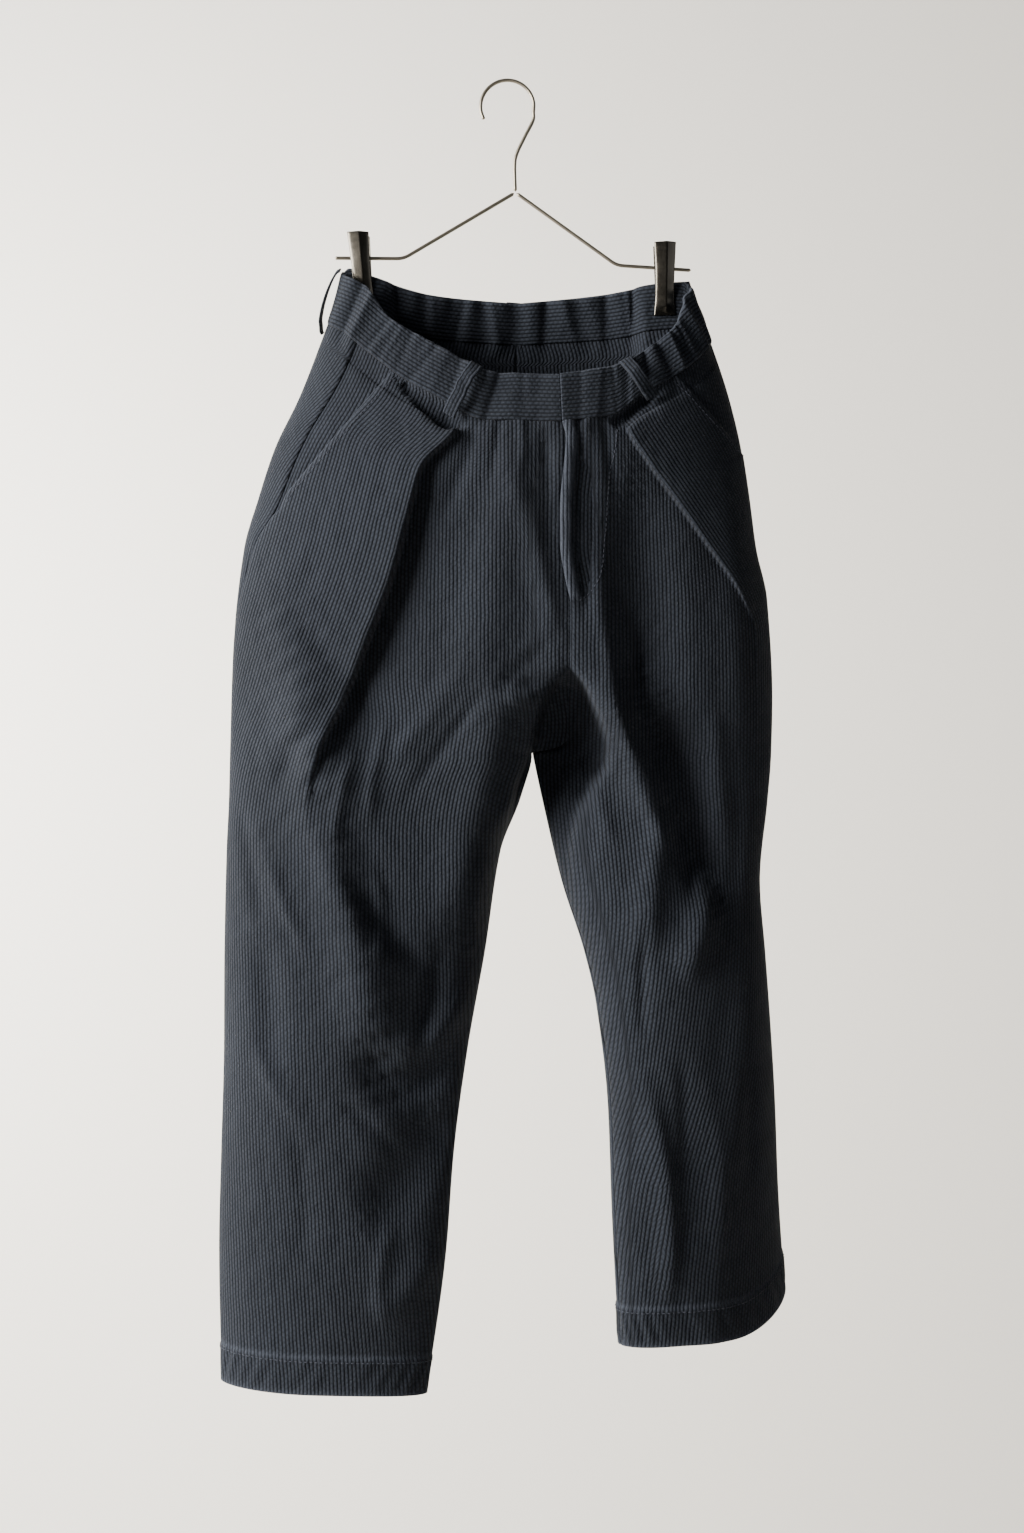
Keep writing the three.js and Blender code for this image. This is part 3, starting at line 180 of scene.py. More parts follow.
# Finer creases of the cloth, with the same columns as the large folds
RIGHT_FRONT_CREASES = [
    (-14, -330, 26, -420, 47, -520, 12, 4.5), (28, -318, 38, -380, 38, -440, 6, -4),
    (-16, -540, -50, -590, -96, -650, 5, -3), (-30, -520, -72, -575, -110, -620, 9, 2.5),
    (46, -500, 10, -530, -24, -560, 6, -2), (-106, -574, -124, -622, -122, -664, 5, 3),
    (-134, -600, -152, -640, -152, -690, 5, 3), (-150, -560, -190, -590, -205, -640, 9, -3),
    (-216, -690, -200, -740, -168, -790, 7, 2.5), (-196, -480, -150, -520, -128, -560, 9, -2.5),
    (-120, -700, -108, -745, -114, -790, 5, 3), (-150, -900, -120, -930, -90, -960, 6, -2),
    (-186, -930, -170, -1000, -180, -1060, 9, -1.8), (-96, -1010, -120, -1060, -110, -1110, 7, 2),
    (-8, -300, -10, -330, -16, -372, 4, -2), (8, -300, 12, -330, 10, -364, 4, 2),
    (-26, -305, -36, -350, -58, -400, 6, -2.5), (-224, -860, -206, -900, -176, -930, 8, 2.2),
    (-240, -640, -232, -700, -214, -760, 8, -2), (12, -612, -10, -690, -36, -790, 13, 2),
    (6, -541, 28, -546, 56, -541, 5, -3.5), (-4, -556, 10, -560, 22, -556, 5, 3),
    (-150, -690, -120, -760, -60, -800, 8, -4), (-60, -760, -66, -830, -84, -880, 8, -4),
]
LEFT_FRONT_CREASES = [
    (62, -322, 66, -400, 66, -490, 9, -6), (72, -420, 74, -470, 86, -530, 8, 2.4),
    (66, -540, 86, -590, 120, -640, 6, -3), (58, -600, 78, -640, 84, -690, 7, 3.5),
    (136, -640, 152, -690, 150, -740, 6, -3), (104, -740, 98, -800, 100, -860, 5, -3),
    (128, -860, 132, -930, 128, -990, 7, -2.5), (150, -880, 160, -960, 158, -1040, 8, 2.4),
    (190, -860, 196, -930, 190, -1000, 10, -2), (80, -306, 84, -340, 90, -380, 5, -2.4),
    (66, -300, 68, -330, 64, -366, 4, 1.8), (176, -560, 186, -620, 178, -690, 8, 2.5),
    (200, -620, 200, -680, 190, -740, 7, -2), (140, -1010, 130, -1060, 134, -1110, 7, 2),
    (84, -470, 86, -590, 138, -700, 7, 4), (190, -350, 204, -470, 206, -610, 18, 4),
    (108, -470, 108, -590, 160, -706, 9, -5), (64, -600, 74, -625, 66, -655, 7, -4),
]
RIGHT_BACK_CREASES = [
    (-60, -250, -50, -330, -70, -420, 8, -2.5), (-30, -560, -70, -620, -120, -660, 8, 3),
    (-10, -600, -50, -660, -90, -720, 7, -3), (-150, -760, -120, -800, -90, -820, 8, 3),
    (-200, -420, -170, -480, -130, -520, 9, -2.5), (-190, -980, -150, -1010, -120, -1060, 9, 2.2),
    (-120, -1040, -140, -1090, -130, -1140, 8, -2),
]
LEFT_BACK_CREASES = [
    (60, -250, 60, -330, 80, -420, 8, -2.5), (50, -580, 90, -640, 130, -670, 8, 3),
    (90, -700, 130, -750, 170, -770, 8, -3), (190, -430, 160, -500, 120, -540, 9, -2.5),
    (180, -880, 160, -930, 130, -970, 9, 2.4), (150, -1000, 180, -1040, 190, -1080, 8, -2),
]
CREASES = {
    "right": {"front": RIGHT_FRONT_CREASES, "back": RIGHT_BACK_CREASES},
    "left": {"front": LEFT_FRONT_CREASES, "back": LEFT_BACK_CREASES},
}

# Pinches of the elastic on each quarter of the band: place along it, half width, height and lean
PINCHES = {
    ("right", "front"): [
        (0.1, 0.014, -1.2, 0.01), (0.185, 0.012, -1.6, -0.01), (0.27, 0.016, 1.4, 0.01),
        (0.36, 0.018, -2.4, 0.02), (0.415, 0.016, 1.6, 0.01), (0.475, 0.014, -2.2, -0.02),
        (0.56, 0.02, -2.6, 0.03), (0.62, 0.016, 1.8, 0.01), (0.7, 0.018, -2.2, -0.02),
        (0.79, 0.016, 1.6, 0.01), (0.85, 0.014, -1.6, 0.02),
    ],
    ("left", "front"): [
        (0.07, 0.012, -1.4, 0.01), (0.14, 0.014, 1.2, 0.02), (0.21, 0.014, -2.0, -0.02),
        (0.31, 0.016, 1.5, 0.01), (0.4, 0.016, -2.4, 0.03), (0.5, 0.018, -1.4, -0.01),
        (0.58, 0.018, 1.8, 0.02), (0.67, 0.016, -2.2, 0.02), (0.8, 0.018, 1.4, -0.02),
    ],
    ("right", "back"): [
        (0.08, 0.02, -2.2, 0.03), (0.2, 0.016, 1.8, -0.02), (0.31, 0.02, -2.6, 0.02),
        (0.47, 0.018, 2.0, 0.03), (0.56, 0.014, -1.8, -0.03),
    ],
    ("left", "back"): [
        (0.1, 0.016, 2.0, 0.02), (0.19, 0.02, -2.4, -0.03), (0.33, 0.018, 1.8, 0.03),
        (0.44, 0.02, -2.6, 0.01), (0.57, 0.016, 1.6, 0.02),
    ],
}


def lerp(a, b, u):
    return a + (b - a) * u


def smooth(x, low, high):
    u = np.clip((np.asarray(x, float) - low) / (np.asarray(high, float) - low), 0, 1)
    return u * u * (3 - 2 * u)


def through(xs, ys):
    """A smooth curve through points which never overshoots them, as a function of arrays."""
    order = np.argsort(xs)
    xs, ys = (np.asarray(v, float)[order] for v in (xs, ys))
    slopes = np.diff(ys) / np.diff(xs)
    before, after = slopes[:-1], slopes[1:]
    level = before * after <= 0
    between = np.where(level, 0, 2 * before * after / np.where(level, 1, before + after))
    tangents = np.concatenate([slopes[:1], between, slopes[-1:]])

    def value(x):
        x = np.clip(np.asarray(x, float), xs[0], xs[-1])
        i = np.clip(np.searchsorted(xs, x, side="left") - 1, 0, len(xs) - 2)
        span = xs[i + 1] - xs[i]
        u = (x - xs[i]) / span
        a = (1 + 2 * u) * (1 - u) ** 2
        b = u * (1 - u) ** 2
        c = u * u * (3 - 2 * u)
        d = u * u * (u - 1)
        return a * ys[i] + b * span * tangents[i] + c * ys[i + 1] + d * span * tangents[i + 1]

    return value


def column(rows, by, value):
    picked = [(r[by], r[value]) for r in rows if r[value] is not None]
    return through([p[0] for p in picked], [p[1] for p in picked])


centre = {"front": column(CENTRE_FRONT, 0, 1), "back": column(CENTRE_BACK, 0, 1)}
fork = {key: column(FORK, 0, i + 1) for i, key in enumerate(("left", "right", "keep"))}


def fork_share(x, z):
    from_left = smooth(x - fork["left"](z), 0, FORK_EDGE["left"])
    from_right = smooth(fork["right"](z) - x, 0, FORK_EDGE["right"])
    return lerp(1, fork["keep"](z), from_left * from_right)


def step_at(half, z):
    """How wide the pleat's step is: a narrow fold at the top, a soft ridge down the leg."""
    narrow = PLEAT["step"] * (1 if half is RIGHT else PLEAT["left_share"])
    return lerp(narrow, CREASE["step"], smooth(-z, -CREASE["from"], -CREASE["to"]))


class Half:
    """One half of the trousers: its tables as curves."""

    def __init__(self, name, sign, sections, outseam, hem, pleat, folds, bands, pocket, clip, grain):
        self.name = name
        self.sign = sign
        self.section = {key: column(sections, 0, i) for i, key in enumerate(SECTION) if i}
        self.outseam = column(outseam, 0, 1)
        self.hem = hem
        self.pleat = {key: column(pleat, 0, i + 1) for i, key in enumerate(("x", "lift", "sink"))}
        self.folds = folds
        keys = ("seamAt", "seamZ", "topAt", "topZ")
        self.band = {f: {key: column(bands[f], 0, i + 1) for i, key in enumerate(keys)} for f in bands}
        self.seam = {f: column(bands[f], 1, 2) for f in bands}
        self.at_of = {f: column(bands[f], 1, 0) for f in bands}
        self.pocket = pocket
        self.clip = clip
        self.grain = grain


RIGHT = Half(
    "right", -1, RIGHT_SECTIONS, RIGHT_OUTSEAM, RIGHT_HEM, RIGHT_PLEAT,
    {"front": RIGHT_FRONT_FOLDS, "back": RIGHT_BACK_FOLDS},
    {"front": BAND_RIGHT_FRONT, "back": BAND_RIGHT_BACK}, RIGHT_POCKET, RIGHT_CLIP, -150.0,
)
LEFT = Half(
    "left", 1, LEFT_SECTIONS, LEFT_OUTSEAM, LEFT_HEM, LEFT_PLEAT,
    {"front": LEFT_FRONT_FOLDS, "back": LEFT_BACK_FOLDS},
    {"front": BAND_LEFT_FRONT, "back": BAND_LEFT_BACK}, LEFT_POCKET, LEFT_CLIP, 165.0,
)


def rise_at(face, t, z):
    begin, bend = RISE[face]
    away = smooth(t, 0, RISE["near"])
    high = begin - RISE["drop"] * away
    low = CROTCH - RISE["below"] * smooth(t, 0, 0.42)
    down = np.clip((high - z) / (high - low), 0, 1)
    return lerp((1 - down**bend) ** (1 / bend), 1 - smooth(down, 0, 1), away)


def inner_edge(half, face, t, z):
    seam = np.where(z > CROTCH, centre[face](z), half.section["inner"](z))
    body = centre[face](np.maximum(z, FLOW["from"]))
    flow = lerp(body, half.section["inner"](z), smooth(-z, -FLOW["from"], -FLOW["to"]))
    return lerp(seam, flow, smooth(t, 0, FLOW["near"]))


def fold_height(fold, x, z):
    """Height of one fold at points seen from the front."""
    x0, z0, x1, z1, x2, z2, half_wide, high = fold
    best = np.full(np.shape(x), np.inf)
    along = np.zeros(np.shape(x))
    for u in np.linspace(0, 1, 25):
        px = (1 - u) ** 2 * x0 + 2 * u * (1 - u) * x1 + u * u * x2
        pz = (1 - u) ** 2 * z0 + 2 * u * (1 - u) * z1 + u * u * z2
        d = (px - x) ** 2 + ((pz - z) * 0.8) ** 2
        near = d < best
        best = np.where(near, d, best)
        along = np.where(near, u, along)
    ends = smooth(along, -0.05, 0.3) * (1 - smooth(along, 0.75, 1.05))
    return high * DEEPER * np.exp(-best / half_wide**2) * ends


def pleat_height(half, x, z, below):
    out = (x - half.pleat["x"](z)) * half.sign
    fallen = smooth(below, PLEAT["drop"] - PLEAT["slip"] / 2, PLEAT["drop"] + PLEAT["slip"] / 2)
    over = lerp(-BEHIND, half.pleat["lift"](z), fallen)
    over = over * np.exp(-np.maximum(out, 0) / PLEAT["outward"])
    step = step_at(half, z)
    under = -half.pleat["sink"](z) * np.exp(np.minimum(out + step, 0) / PLEAT["inward"])
    return lerp(under, over, smooth(out, -step, 0))


def below_band(half, face, r, z):
    return half.seam[face](np.clip(r if face == "front" else 2 - r, 0, 1)) - z


def beside_clip(half, x):
    """0 under the clip, where the band is pressed flat, and 1 away from it."""
    return smooth(np.abs(x - half.clip["x"]), CLIP_FLAT["wide"], CLIP_FLAT["wide"] + CLIP_FLAT["fade"])


def face_points(half, face, r, z, extra=None, plain=False):
    """Points of the cloth's outer face on one face. A plain form has no folds, pleat or hollow."""
    t = r if face == "front" else 2 - r
    t = np.clip(t, 0, 1)
    s = {key: f(z) for key, f in half.section.items()}
    rise = rise_at(face, t, z)
    inner = inner_edge(half, face, t, z)
    depth = s[face] - s["side"]
    across = lerp((1 - np.cos(np.pi * t)) / 2, np.sin(np.pi * t / 2), rise)
    leg = np.maximum(np.sin(np.pi * t), 0) ** s["edge"]
    torso = np.maximum(np.cos(np.pi * t / 2), 0) ** s["edge"]
    turn = np.radians(s["turn"]) * smooth(CROTCH - z, 0, TURN_OVER)
    middle = (inner + s["outer"]) / 2
    half_wide = np.abs(s["outer"] - inner) / 2
    half_deep = (s["back"] - s["front"]) / 2
    local = np.sqrt(half_wide**2 - (half_deep * np.sin(turn)) ** 2) / np.cos(turn)
    lx = half.sign * local * (2 * across - 1)
    sx = middle + lx
    ly = depth * lerp(leg, torso, rise)
    if face == "front" and not plain:
        ly = ly * fork_share(sx, z)
    edge = np.minimum(np.minimum(r, 2 - r), np.abs(r - 1))
    seams = smooth(edge, 0, FADE["fold"])
    near_centre = np.where(z > CROTCH, smooth(np.minimum(r, 2 - r), 0, FADE["centre"]), 1)
    folds = 0 if plain else sum(fold_height(f, sx, z) for f in half.folds[face]) * seams
    if extra is not None:
        folds = folds + extra(face, sx, z) * smooth(edge, 0, FADE["crease"])
    pleat = 0
    if face == "front" and not plain:
        pleat = pleat_height(half, sx, z, below_band(half, face, r, z))
        pleat = pleat * near_centre * smooth(1 - r, 0, FADE["side"])
    ly = ly + (-1 if face == "front" else 1) * (folds + pleat)
    x = middle + lx * np.cos(turn) - ly * np.sin(turn)
    y = s["side"] + ly * np.cos(turn) + lx * np.sin(turn)
    if face == "back":
        flat = (1 - beside_clip(half, x)) * smooth(z, CLIP_FLAT["from"], CLIP_FLAT["to"])
        y = lerp(y, CLIP_MIDDLE + BAND_WALL / 2 - BAND_LAYER, flat)
    x = x + half.sign * SEAM_GAP / 2
    return np.stack(np.broadcast_arrays(x, y, z), -1)


def cloth(half, r, z, extra=None, plain=False):
    r, z = np.broadcast_arrays(np.asarray(r, float), np.asarray(z, float))
    ahead = r <= 1
    made = np.empty(r.shape + (3,))
    if ahead.any():
        made[ahead] = face_points(half, "front", r[ahead], z[ahead], extra, plain)
    if not ahead.all():
        made[~ahead] = face_points(half, "back", r[~ahead], z[~ahead], extra, plain)
    return made


def fine_creases(half):
    def height(face, x, z):
        return sum(fold_height(c, x, z) for c in CREASES[half.name][face])

    return height


def unit(v):
    return v / np.maximum(np.linalg.norm(v, axis=-1, keepdims=True), 1e-9)


def cloth_normal(half, r, z):
    """The outward direction of the large form, from neighbours on both sides of any seam."""
    r, z = np.broadcast_arrays(np.asarray(r, float), np.asarray(z, float))
    step, drop = 0.012, 4.0
    is_open = z > CROTCH

    def beside(near):
        round_the_ring = np.where(near < 0, near + 2, np.where(near > 2, near - 2, near))
        return cloth(half, np.where(is_open, np.clip(near, 0, 2), round_the_ring), z)

    along = beside(r + step) - beside(r - step)
    up = cloth(half, r, z + drop) - cloth(half, r, z - drop)
    normal = unit(np.cross(along, up) * half.sign)
    at_centre = np.minimum(r, 2 - r) < 1e-6
    zero = np.zeros_like(z)
    face_rise = np.where(r <= 1, rise_at("front", zero, z), rise_at("back", zero, z))
    stay = smooth(face_rise, 0, 0.3) * (is_open & at_centre)
    flat = normal.copy()
    flat[..., 0] = 0
    return unit(lerp(normal, unit(flat), stay[..., None]))


def linked(name, data):
    obj = bpy.data.objects.new(name, data)
    bpy.context.scene.collection.objects.link(obj)
    return obj


def new_object(name, points, faces, smooth_faces=True):
    mesh = bpy.data.meshes.new(name)
    mesh.from_pydata([tuple(p) for p in points], [], faces)
    mesh.update()
    if smooth_faces:
        mesh.polygons.foreach_set("use_smooth", [True] * len(mesh.polygons))
    return linked(name, mesh)


GRIDS = {}  # the outer grid of each cloth wall, with the grid under it, for the sewing


def wall(name, outer, inner, uv=None, wear=None):
    """A closed wall between an outer and an inner grid of points in millimetres. Its UVs are lengths of
    cloth across and along the ribs, and every point has a wear value."""
    GRIDS[name] = (outer, inner)
    rows, cols = outer.shape[:2]
    points = np.concatenate([outer.reshape(-1, 3), inner.reshape(-1, 3)]) * MM
    layer = rows * cols
    index = np.arange(layer).reshape(rows, cols)
    a, b, c, d = index[:-1, :-1], index[1:, :-1], index[1:, 1:], index[:-1, 1:]
    face = np.stack([a, b, c, d], -1).reshape(-1, 4)
    back = face[:, [0, 3, 2, 1]] + layer
    rims = []
    for rim, turned in ((index[:, 0], False), (index[:, -1], True), (index[0], True), (index[-1], False)):
        quads = np.stack([rim[:-1], rim[:-1] + layer, rim[1:] + layer, rim[1:]], -1)
        rims.append(quads[:, [0, 3, 2, 1]] if turned else quads)
    faces = np.concatenate([face, back, *rims])
    p, q, s, t = (points[faces[:, k]] for k in range(4))
    outward = np.cross(q - p, s - p) + np.cross(s - p, t - p)
    if float(np.sum(points[faces].mean(1) * outward)) < 0:
        faces = faces[:, ::-1]
    obj = new_object(name, points, faces.tolist())
    mesh = obj.data
    corner = np.empty(len(mesh.loops), dtype=np.int64)
    mesh.loops.foreach_get("vertex_index", corner)
    if uv is not None:
        flat = np.concatenate([np.stack(uv, -1).reshape(-1, 2)] * 2) * MM
        layer_uv = mesh.uv_layers.new(name="weave")
        layer_uv.data.foreach_set("uv", flat[corner].astype(np.float32).ravel())
    if wear is None:
        wear = np.zeros((rows, cols))
    attribute = mesh.attributes.new("wear", "FLOAT", "POINT")
    attribute.data.foreach_set("value", np.concatenate([wear.ravel()] * 2).astype(np.float32))
    return obj


def hem_height(half, r):
    hem = half.hem
    middle = np.where(r <= 1, hem["front"], hem["back"])
    t = np.where(r <= 1, r, 2 - r)
    low = lerp(hem["inner"], middle, smooth(t, 0, 0.5))
    high = lerp(middle, hem["outer"], smooth(t, 0.5, 1))
    return np.where(t < 0.5, low, high)


# Rows of a panel, from the band to the hem: millimetres below the band, then shares of the rise, then shares
# of the leg, then millimetres above the hem
TOP_ROWS = [0, 1.2, 2.6, 5, 8, 11, 14, 16, 16.75, 17.4, 18, 18.6, 19.25]
RISE_SHARES = np.linspace(0, 1, 74)[1:]
LEG_SHARES = np.linspace(0, 1, 133)[1:]
HEM_ROWS = [32.4, 31.2, 29, 26, 22.5, 19, 15.5, 12, 9, 6, 3.5, 1.6, 0.5, 0]
ROWS = len(TOP_ROWS) + len(RISE_SHARES) + len(LEG_SHARES) + len(HEM_ROWS)
CROTCH_ROW = len(TOP_ROWS) + len(RISE_SHARES) - 1
HEM_ROW = CROTCH_ROW + len(LEG_SHARES) + 1


def row_heights(half, row, r):
    """Heights of one row at the places r."""
    top = half.seam["front"](np.clip(r, 0, 1))
    top = np.where(r <= 1, top, half.seam["back"](np.clip(2 - r, 0, 1))) - SEAM_GAP / 2
    if row < len(TOP_ROWS):
        return top - TOP_ROWS[row]
    row -= len(TOP_ROWS)
    if row < len(RISE_SHARES):
        u = RISE_SHARES[row]
        return lerp(top - TOP_ROWS[-1], CROTCH, lerp(u, math.sin(math.pi * u / 2), 0.6))
    row -= len(RISE_SHARES)
    hem = hem_height(half, r)
    if row < len(LEG_SHARES):
        return CROTCH - (CROTCH - hem - HEM_DEPTH) * LEG_SHARES[row] ** 1.02
    row -= len(LEG_SHARES)
    return hem + HEM_ROWS[row]


def place_of_line(half, row, line):
    low, high = 0.02, 0.97
    for _ in range(20):
        r = (low + high) / 2
        z = row_heights(half, row, np.array(r))
        rise = rise_at("front", np.array(r), z)
        inner = inner_edge(half, "front", np.array(r), z)
        across = lerp((1 - math.cos(math.pi * r)) / 2, math.sin(math.pi * r / 2), float(rise))
        x = lerp(float(inner), float(half.section["outer"](z)), across)
        if (x - float(line(z))) * half.sign < 0:
            low = r
        else:
            high = r
    return (low + high) / 2


def mouth_line(half):
    p = half.pocket
    return lambda z: lerp(p["x0"], p["x1"], np.clip((p["z0"] - z) / (p["z0"] - p["z1"]), -0.2, 1.2))


def front_end(half, row):
    """Where a row of the front ends: at the pocket's mouth, or below it at the outseam."""
    z = float(row_heights(half, row, np.array(0.9)))
    seam = float(half.outseam(z))
    if z <= half.pocket["z1"]:
        return seam
    return min(place_of_line(half, row, mouth_line(half)), seam - 0.02)


def with_gaps(half, places, z):
    """Moves the first and last place of every row in by half a seam's gap."""
    places = places.copy()
    for j, k in ((0, 1), (-1, -2)):
        r, to = places[:, j], places[:, k]
        d = (to - r) * 0.2
        apart = cloth(half, r, z[:, 0]) - cloth(half, r + d, z[:, 0])
        speed = np.linalg.norm(apart, axis=-1) / np.abs(d)
        places[:, j] = r + np.sign(d) * SEAM_GAP / 2 / np.maximum(speed, 40)
    return places


def panel(half, places_of, rows, sunk, thick, layer, extra=None):
    """Outer and inner grids of a panel, with the height of every point."""
    raw = np.stack([np.asarray(places_of(row), float) for row in rows])
    z = np.stack([row_heights(half, row, raw[i]) for i, row in enumerate(rows)])
    r = with_gaps(half, raw, z)
    points = cloth(half, r, z, extra)
    normals = cloth_normal(half, r, z)
    out = np.stack([layer(row, r[i], z[i]) * np.ones(r.shape[1]) for i, row in enumerate(rows)])
    if extra is not None:
        x = points[..., 0]
        off = pucker(half, r, z, x) + under_band(half, r, z, x) + hem_rope(half, r, z)
        points = points + normals * off[..., None]
    sunk = np.broadcast_to(sunk, out.shape)
    outer = points + normals * (out - sunk)[..., None]
    inner = points - normals * (thick + sunk)[..., None]
    return outer, inner, r, z


def arcs(grid, axis):
    """Length along the grid from its first row or column, in millimetres."""
    step = np.linalg.norm(np.diff(grid, axis=axis), axis=-1)
    pad = [(1, 0), (0, 0)] if axis == 0 else [(0, 0), (1, 0)]
    return np.cumsum(np.pad(step, pad), axis=axis)


def from_crotch(grid):
    down = arcs(grid, 0)
    return down - down[CROTCH_ROW:CROTCH_ROW + 1]


def weave_arcs(half, r, z):
    """Lengths across the ribs, on the form without its folds. Near the centre only the width counts, so that
    the ribs run straight over the fork."""
    step = np.diff(cloth(half, r, z, plain=True), axis=1)
    t = (r[:, 1:] + r[:, :-1]) / 2
    t = np.minimum(t, 2 - t)
    step[..., 1] *= smooth(t, 0.08, 0.4)
    return np.cumsum(np.pad(np.linalg.norm(step, axis=-1), [(0, 0), (1, 0)]), axis=1)


def edge_wear(grid, sides, wide):
    """1 at the named edges of a grid, fading over some millimetres."""
    across = arcs(grid, 1)
    down = arcs(grid, 0)
    away = {"first": across, "last": across[:, -1:] - across, "top": down, "foot": down[-1:, :] - down}
    return np.max([np.exp(-away[side] / wide) for side in sides], axis=0)


def pucker(half, r, z, x):
    """The band's gathers run on a little way down the panels."""
    total = np.zeros(r.shape)
    for face in ("front", "back"):
        here = (r <= 1) if face == "front" else (r > 1)
        t = np.clip(r if face == "front" else 2 - r, 0, 1)
        below = below_band(half, face, r, z)
        wave = gather(half, face, half.at_of[face](t), 0.0, x)
        total = np.where(here, wave * np.exp(-np.maximum(below, 0) / GATHER["run_on"]) * (below < 60), total)
    return total * smooth(np.minimum(r, 2 - r), 0, 0.03)


# Under the band above each pleat the cloth sinks: x, how far down and how deep
HOLLOW = {
    "right": [(-102, 4, 0), (-92, 12, 5), (-76, 18, 8), (-54, 21, 10), (-42, 15, 6), (-34, 8, 0)],
    "left": [(84, 6, 0), (92, 12, 5), (104, 14, 7), (122, 12, 6), (140, 5, 0)],
}


def under_band(half, r, z, x):
    """The cloth sinks under the band above each pleat."""
    rows = np.array(HOLLOW[half.name], float)
    foot = np.interp(x, rows[:, 0], rows[:, 1])
    deep = np.interp(x, rows[:, 0], rows[:, 2])
    below = below_band(half, "front", r, z)
    inside = smooth(below, 0.5, 3.5) * (1 - smooth(below, foot - 2.5, foot + 1.5))
    return np.where(r <= 1, -deep * inside, 0)


HEM_ROPE = {"high": 0.55, "slant": 0.35, "short": 13.0, "long": 21.0, "half_way_round": 200}


def hem_rope(half, r, z):
    """The slanting ripples of a hem that has been washed often, between its seam and its edge."""
    up = z - hem_height(half, r)
    t = np.minimum(r, 2 - r)
    run = t * HEM_ROPE["half_way_round"] + up * HEM_ROPE["slant"]
    turns = run * 2 * np.pi
    ripple = np.sin(turns / HEM_ROPE["short"]) + 0.6 * np.sin(turns / HEM_ROPE["long"] + 1.3)
    inside = smooth(up, 1.0, 9.0) * (1 - smooth(up, 25.0, 36.0))
    return HEM_ROPE["high"] * ripple * inside * smooth(np.minimum(t, np.abs(r - 1)), 0, FADE["centre"])


def hem_wear(half, outer, r, z):
    """The cloth is worn at the hem's edge and along the ridge of its seam."""
    ridge = np.exp(-(((z - hem_height(half, r) - HEM_DEPTH) / HEM_WEAR["ridge_wide"]) ** 2))
    edge = edge_wear(outer, ("foot",), HEM_WEAR["fade"])
    return np.maximum(HEM_WEAR["edge"] * edge, HEM_WEAR["ridge"] * ridge)


SEWN_SIDE = {"deep": 1.1, "wide": 0.009}


def rounded(r, layer):
    """Lets a panel's outer face sink towards its two sewn sides."""
    d = np.minimum(r - r[0], r[-1] - r) if r[-1] > r[0] else np.zeros_like(r)
    return layer - SEWN_SIDE["deep"] * np.exp(-d / SEWN_SIDE["wide"])


FLY_LINE = 50.0  # the ribs above the fork run parallel to the fly
# Columns of a front panel: inside the pleat, across its step, and outside it
FRONT_INSIDE = 60
FRONT_STEP = 5
FRONT_OUTSIDE = 46


def front_panel(half):
    def places_of(row):
        end = front_end(half, row)
        fold = min(place_of_line(half, row, half.pleat["x"]), end - 0.12)
        z = float(row_heights(half, row, np.array(fold)))
        inner = float(centre["front"](z)) if z > CROTCH else float(half.section["inner"](z))
        wide = abs(float(half.section["outer"](z)) - inner)
        step = float(step_at(half, z)) * 0.75 / wide
        lap = FLY["edge"] / wide if half is LEFT else 0
        first = [0, lap * 0.2, lap * 0.5, lap * 0.75, lap * 0.87] if lap else []
        return np.concatenate([
            first,
            lerp(lap, fold - step, np.linspace(0, 1, FRONT_INSIDE) ** 1.25),
            np.linspace(fold - step, fold, FRONT_STEP + 2)[1:-1],
            np.linspace(fold, end, FRONT_OUTSIDE),
        ])

    def layer(row, r, z):
        base = HEM_LAYER if row >= HEM_ROW else 0
        value = rounded(r, base)
        if half is LEFT:
            roll = FLY["roll"] * smooth(z, FLY["foot"], FLY["foot"] + 6)
            j = np.arange(len(r))
            profile = np.interp(j, [0, 1, 2, 3, 4, 5], [0.75, 1, 1, 0.75, 0.2, 0])
            rope = 1 + 0.16 * np.sin(z * 2 * np.pi / 4.2 + j * 1.1)
            raised = lerp(value, base + 0.3, smooth(z, FLY["foot"] - 4, FLY["foot"] + 2))
            value = np.where(j < 6, raised, value) + roll * profile * rope
        return value

    outer, inner, r, z = panel(half, places_of, range(ROWS), 0, CLOTH, layer, fine_creases(half))
    fold_column = outer.shape[1] - FRONT_OUTSIDE
    across = weave_arcs(half, r, z)
    from_fold = across - across[:, fold_column:fold_column + 1]
    from_fly = across - half.sign * (FLY_LINE - outer[:, :1, 0])
    from_fold = from_fold + from_fly[CROTCH_ROW, fold_column]
    lower = smooth(-z[:, :1], 540, 660)
    inside = np.arange(outer.shape[1]) < fold_column
    u = np.where(inside[None, :], lerp(from_fly, from_fold, lower), from_fold)
    v = from_crotch(outer)
    wear = hem_wear(half, outer, r, z)
    mouth = z[:, -1] > half.pocket["z1"]
    mouth_wear = np.where(mouth, 0.45, 0.4)[:, None]
    wear = np.maximum(wear, mouth_wear * edge_wear(outer, ("last",), 2.2))
    if half is LEFT:
        open_fly = (z[:, 0] > FLY["foot"])[:, None]
        j = np.arange(outer.shape[1])[None, :]
        wear = np.maximum(wear, np.where((j < 4) & open_fly, 0.95, 0))
    return wall("cloth_front_" + half.name, outer, inner, (u, v), wear)


BACK_COLUMNS = 100


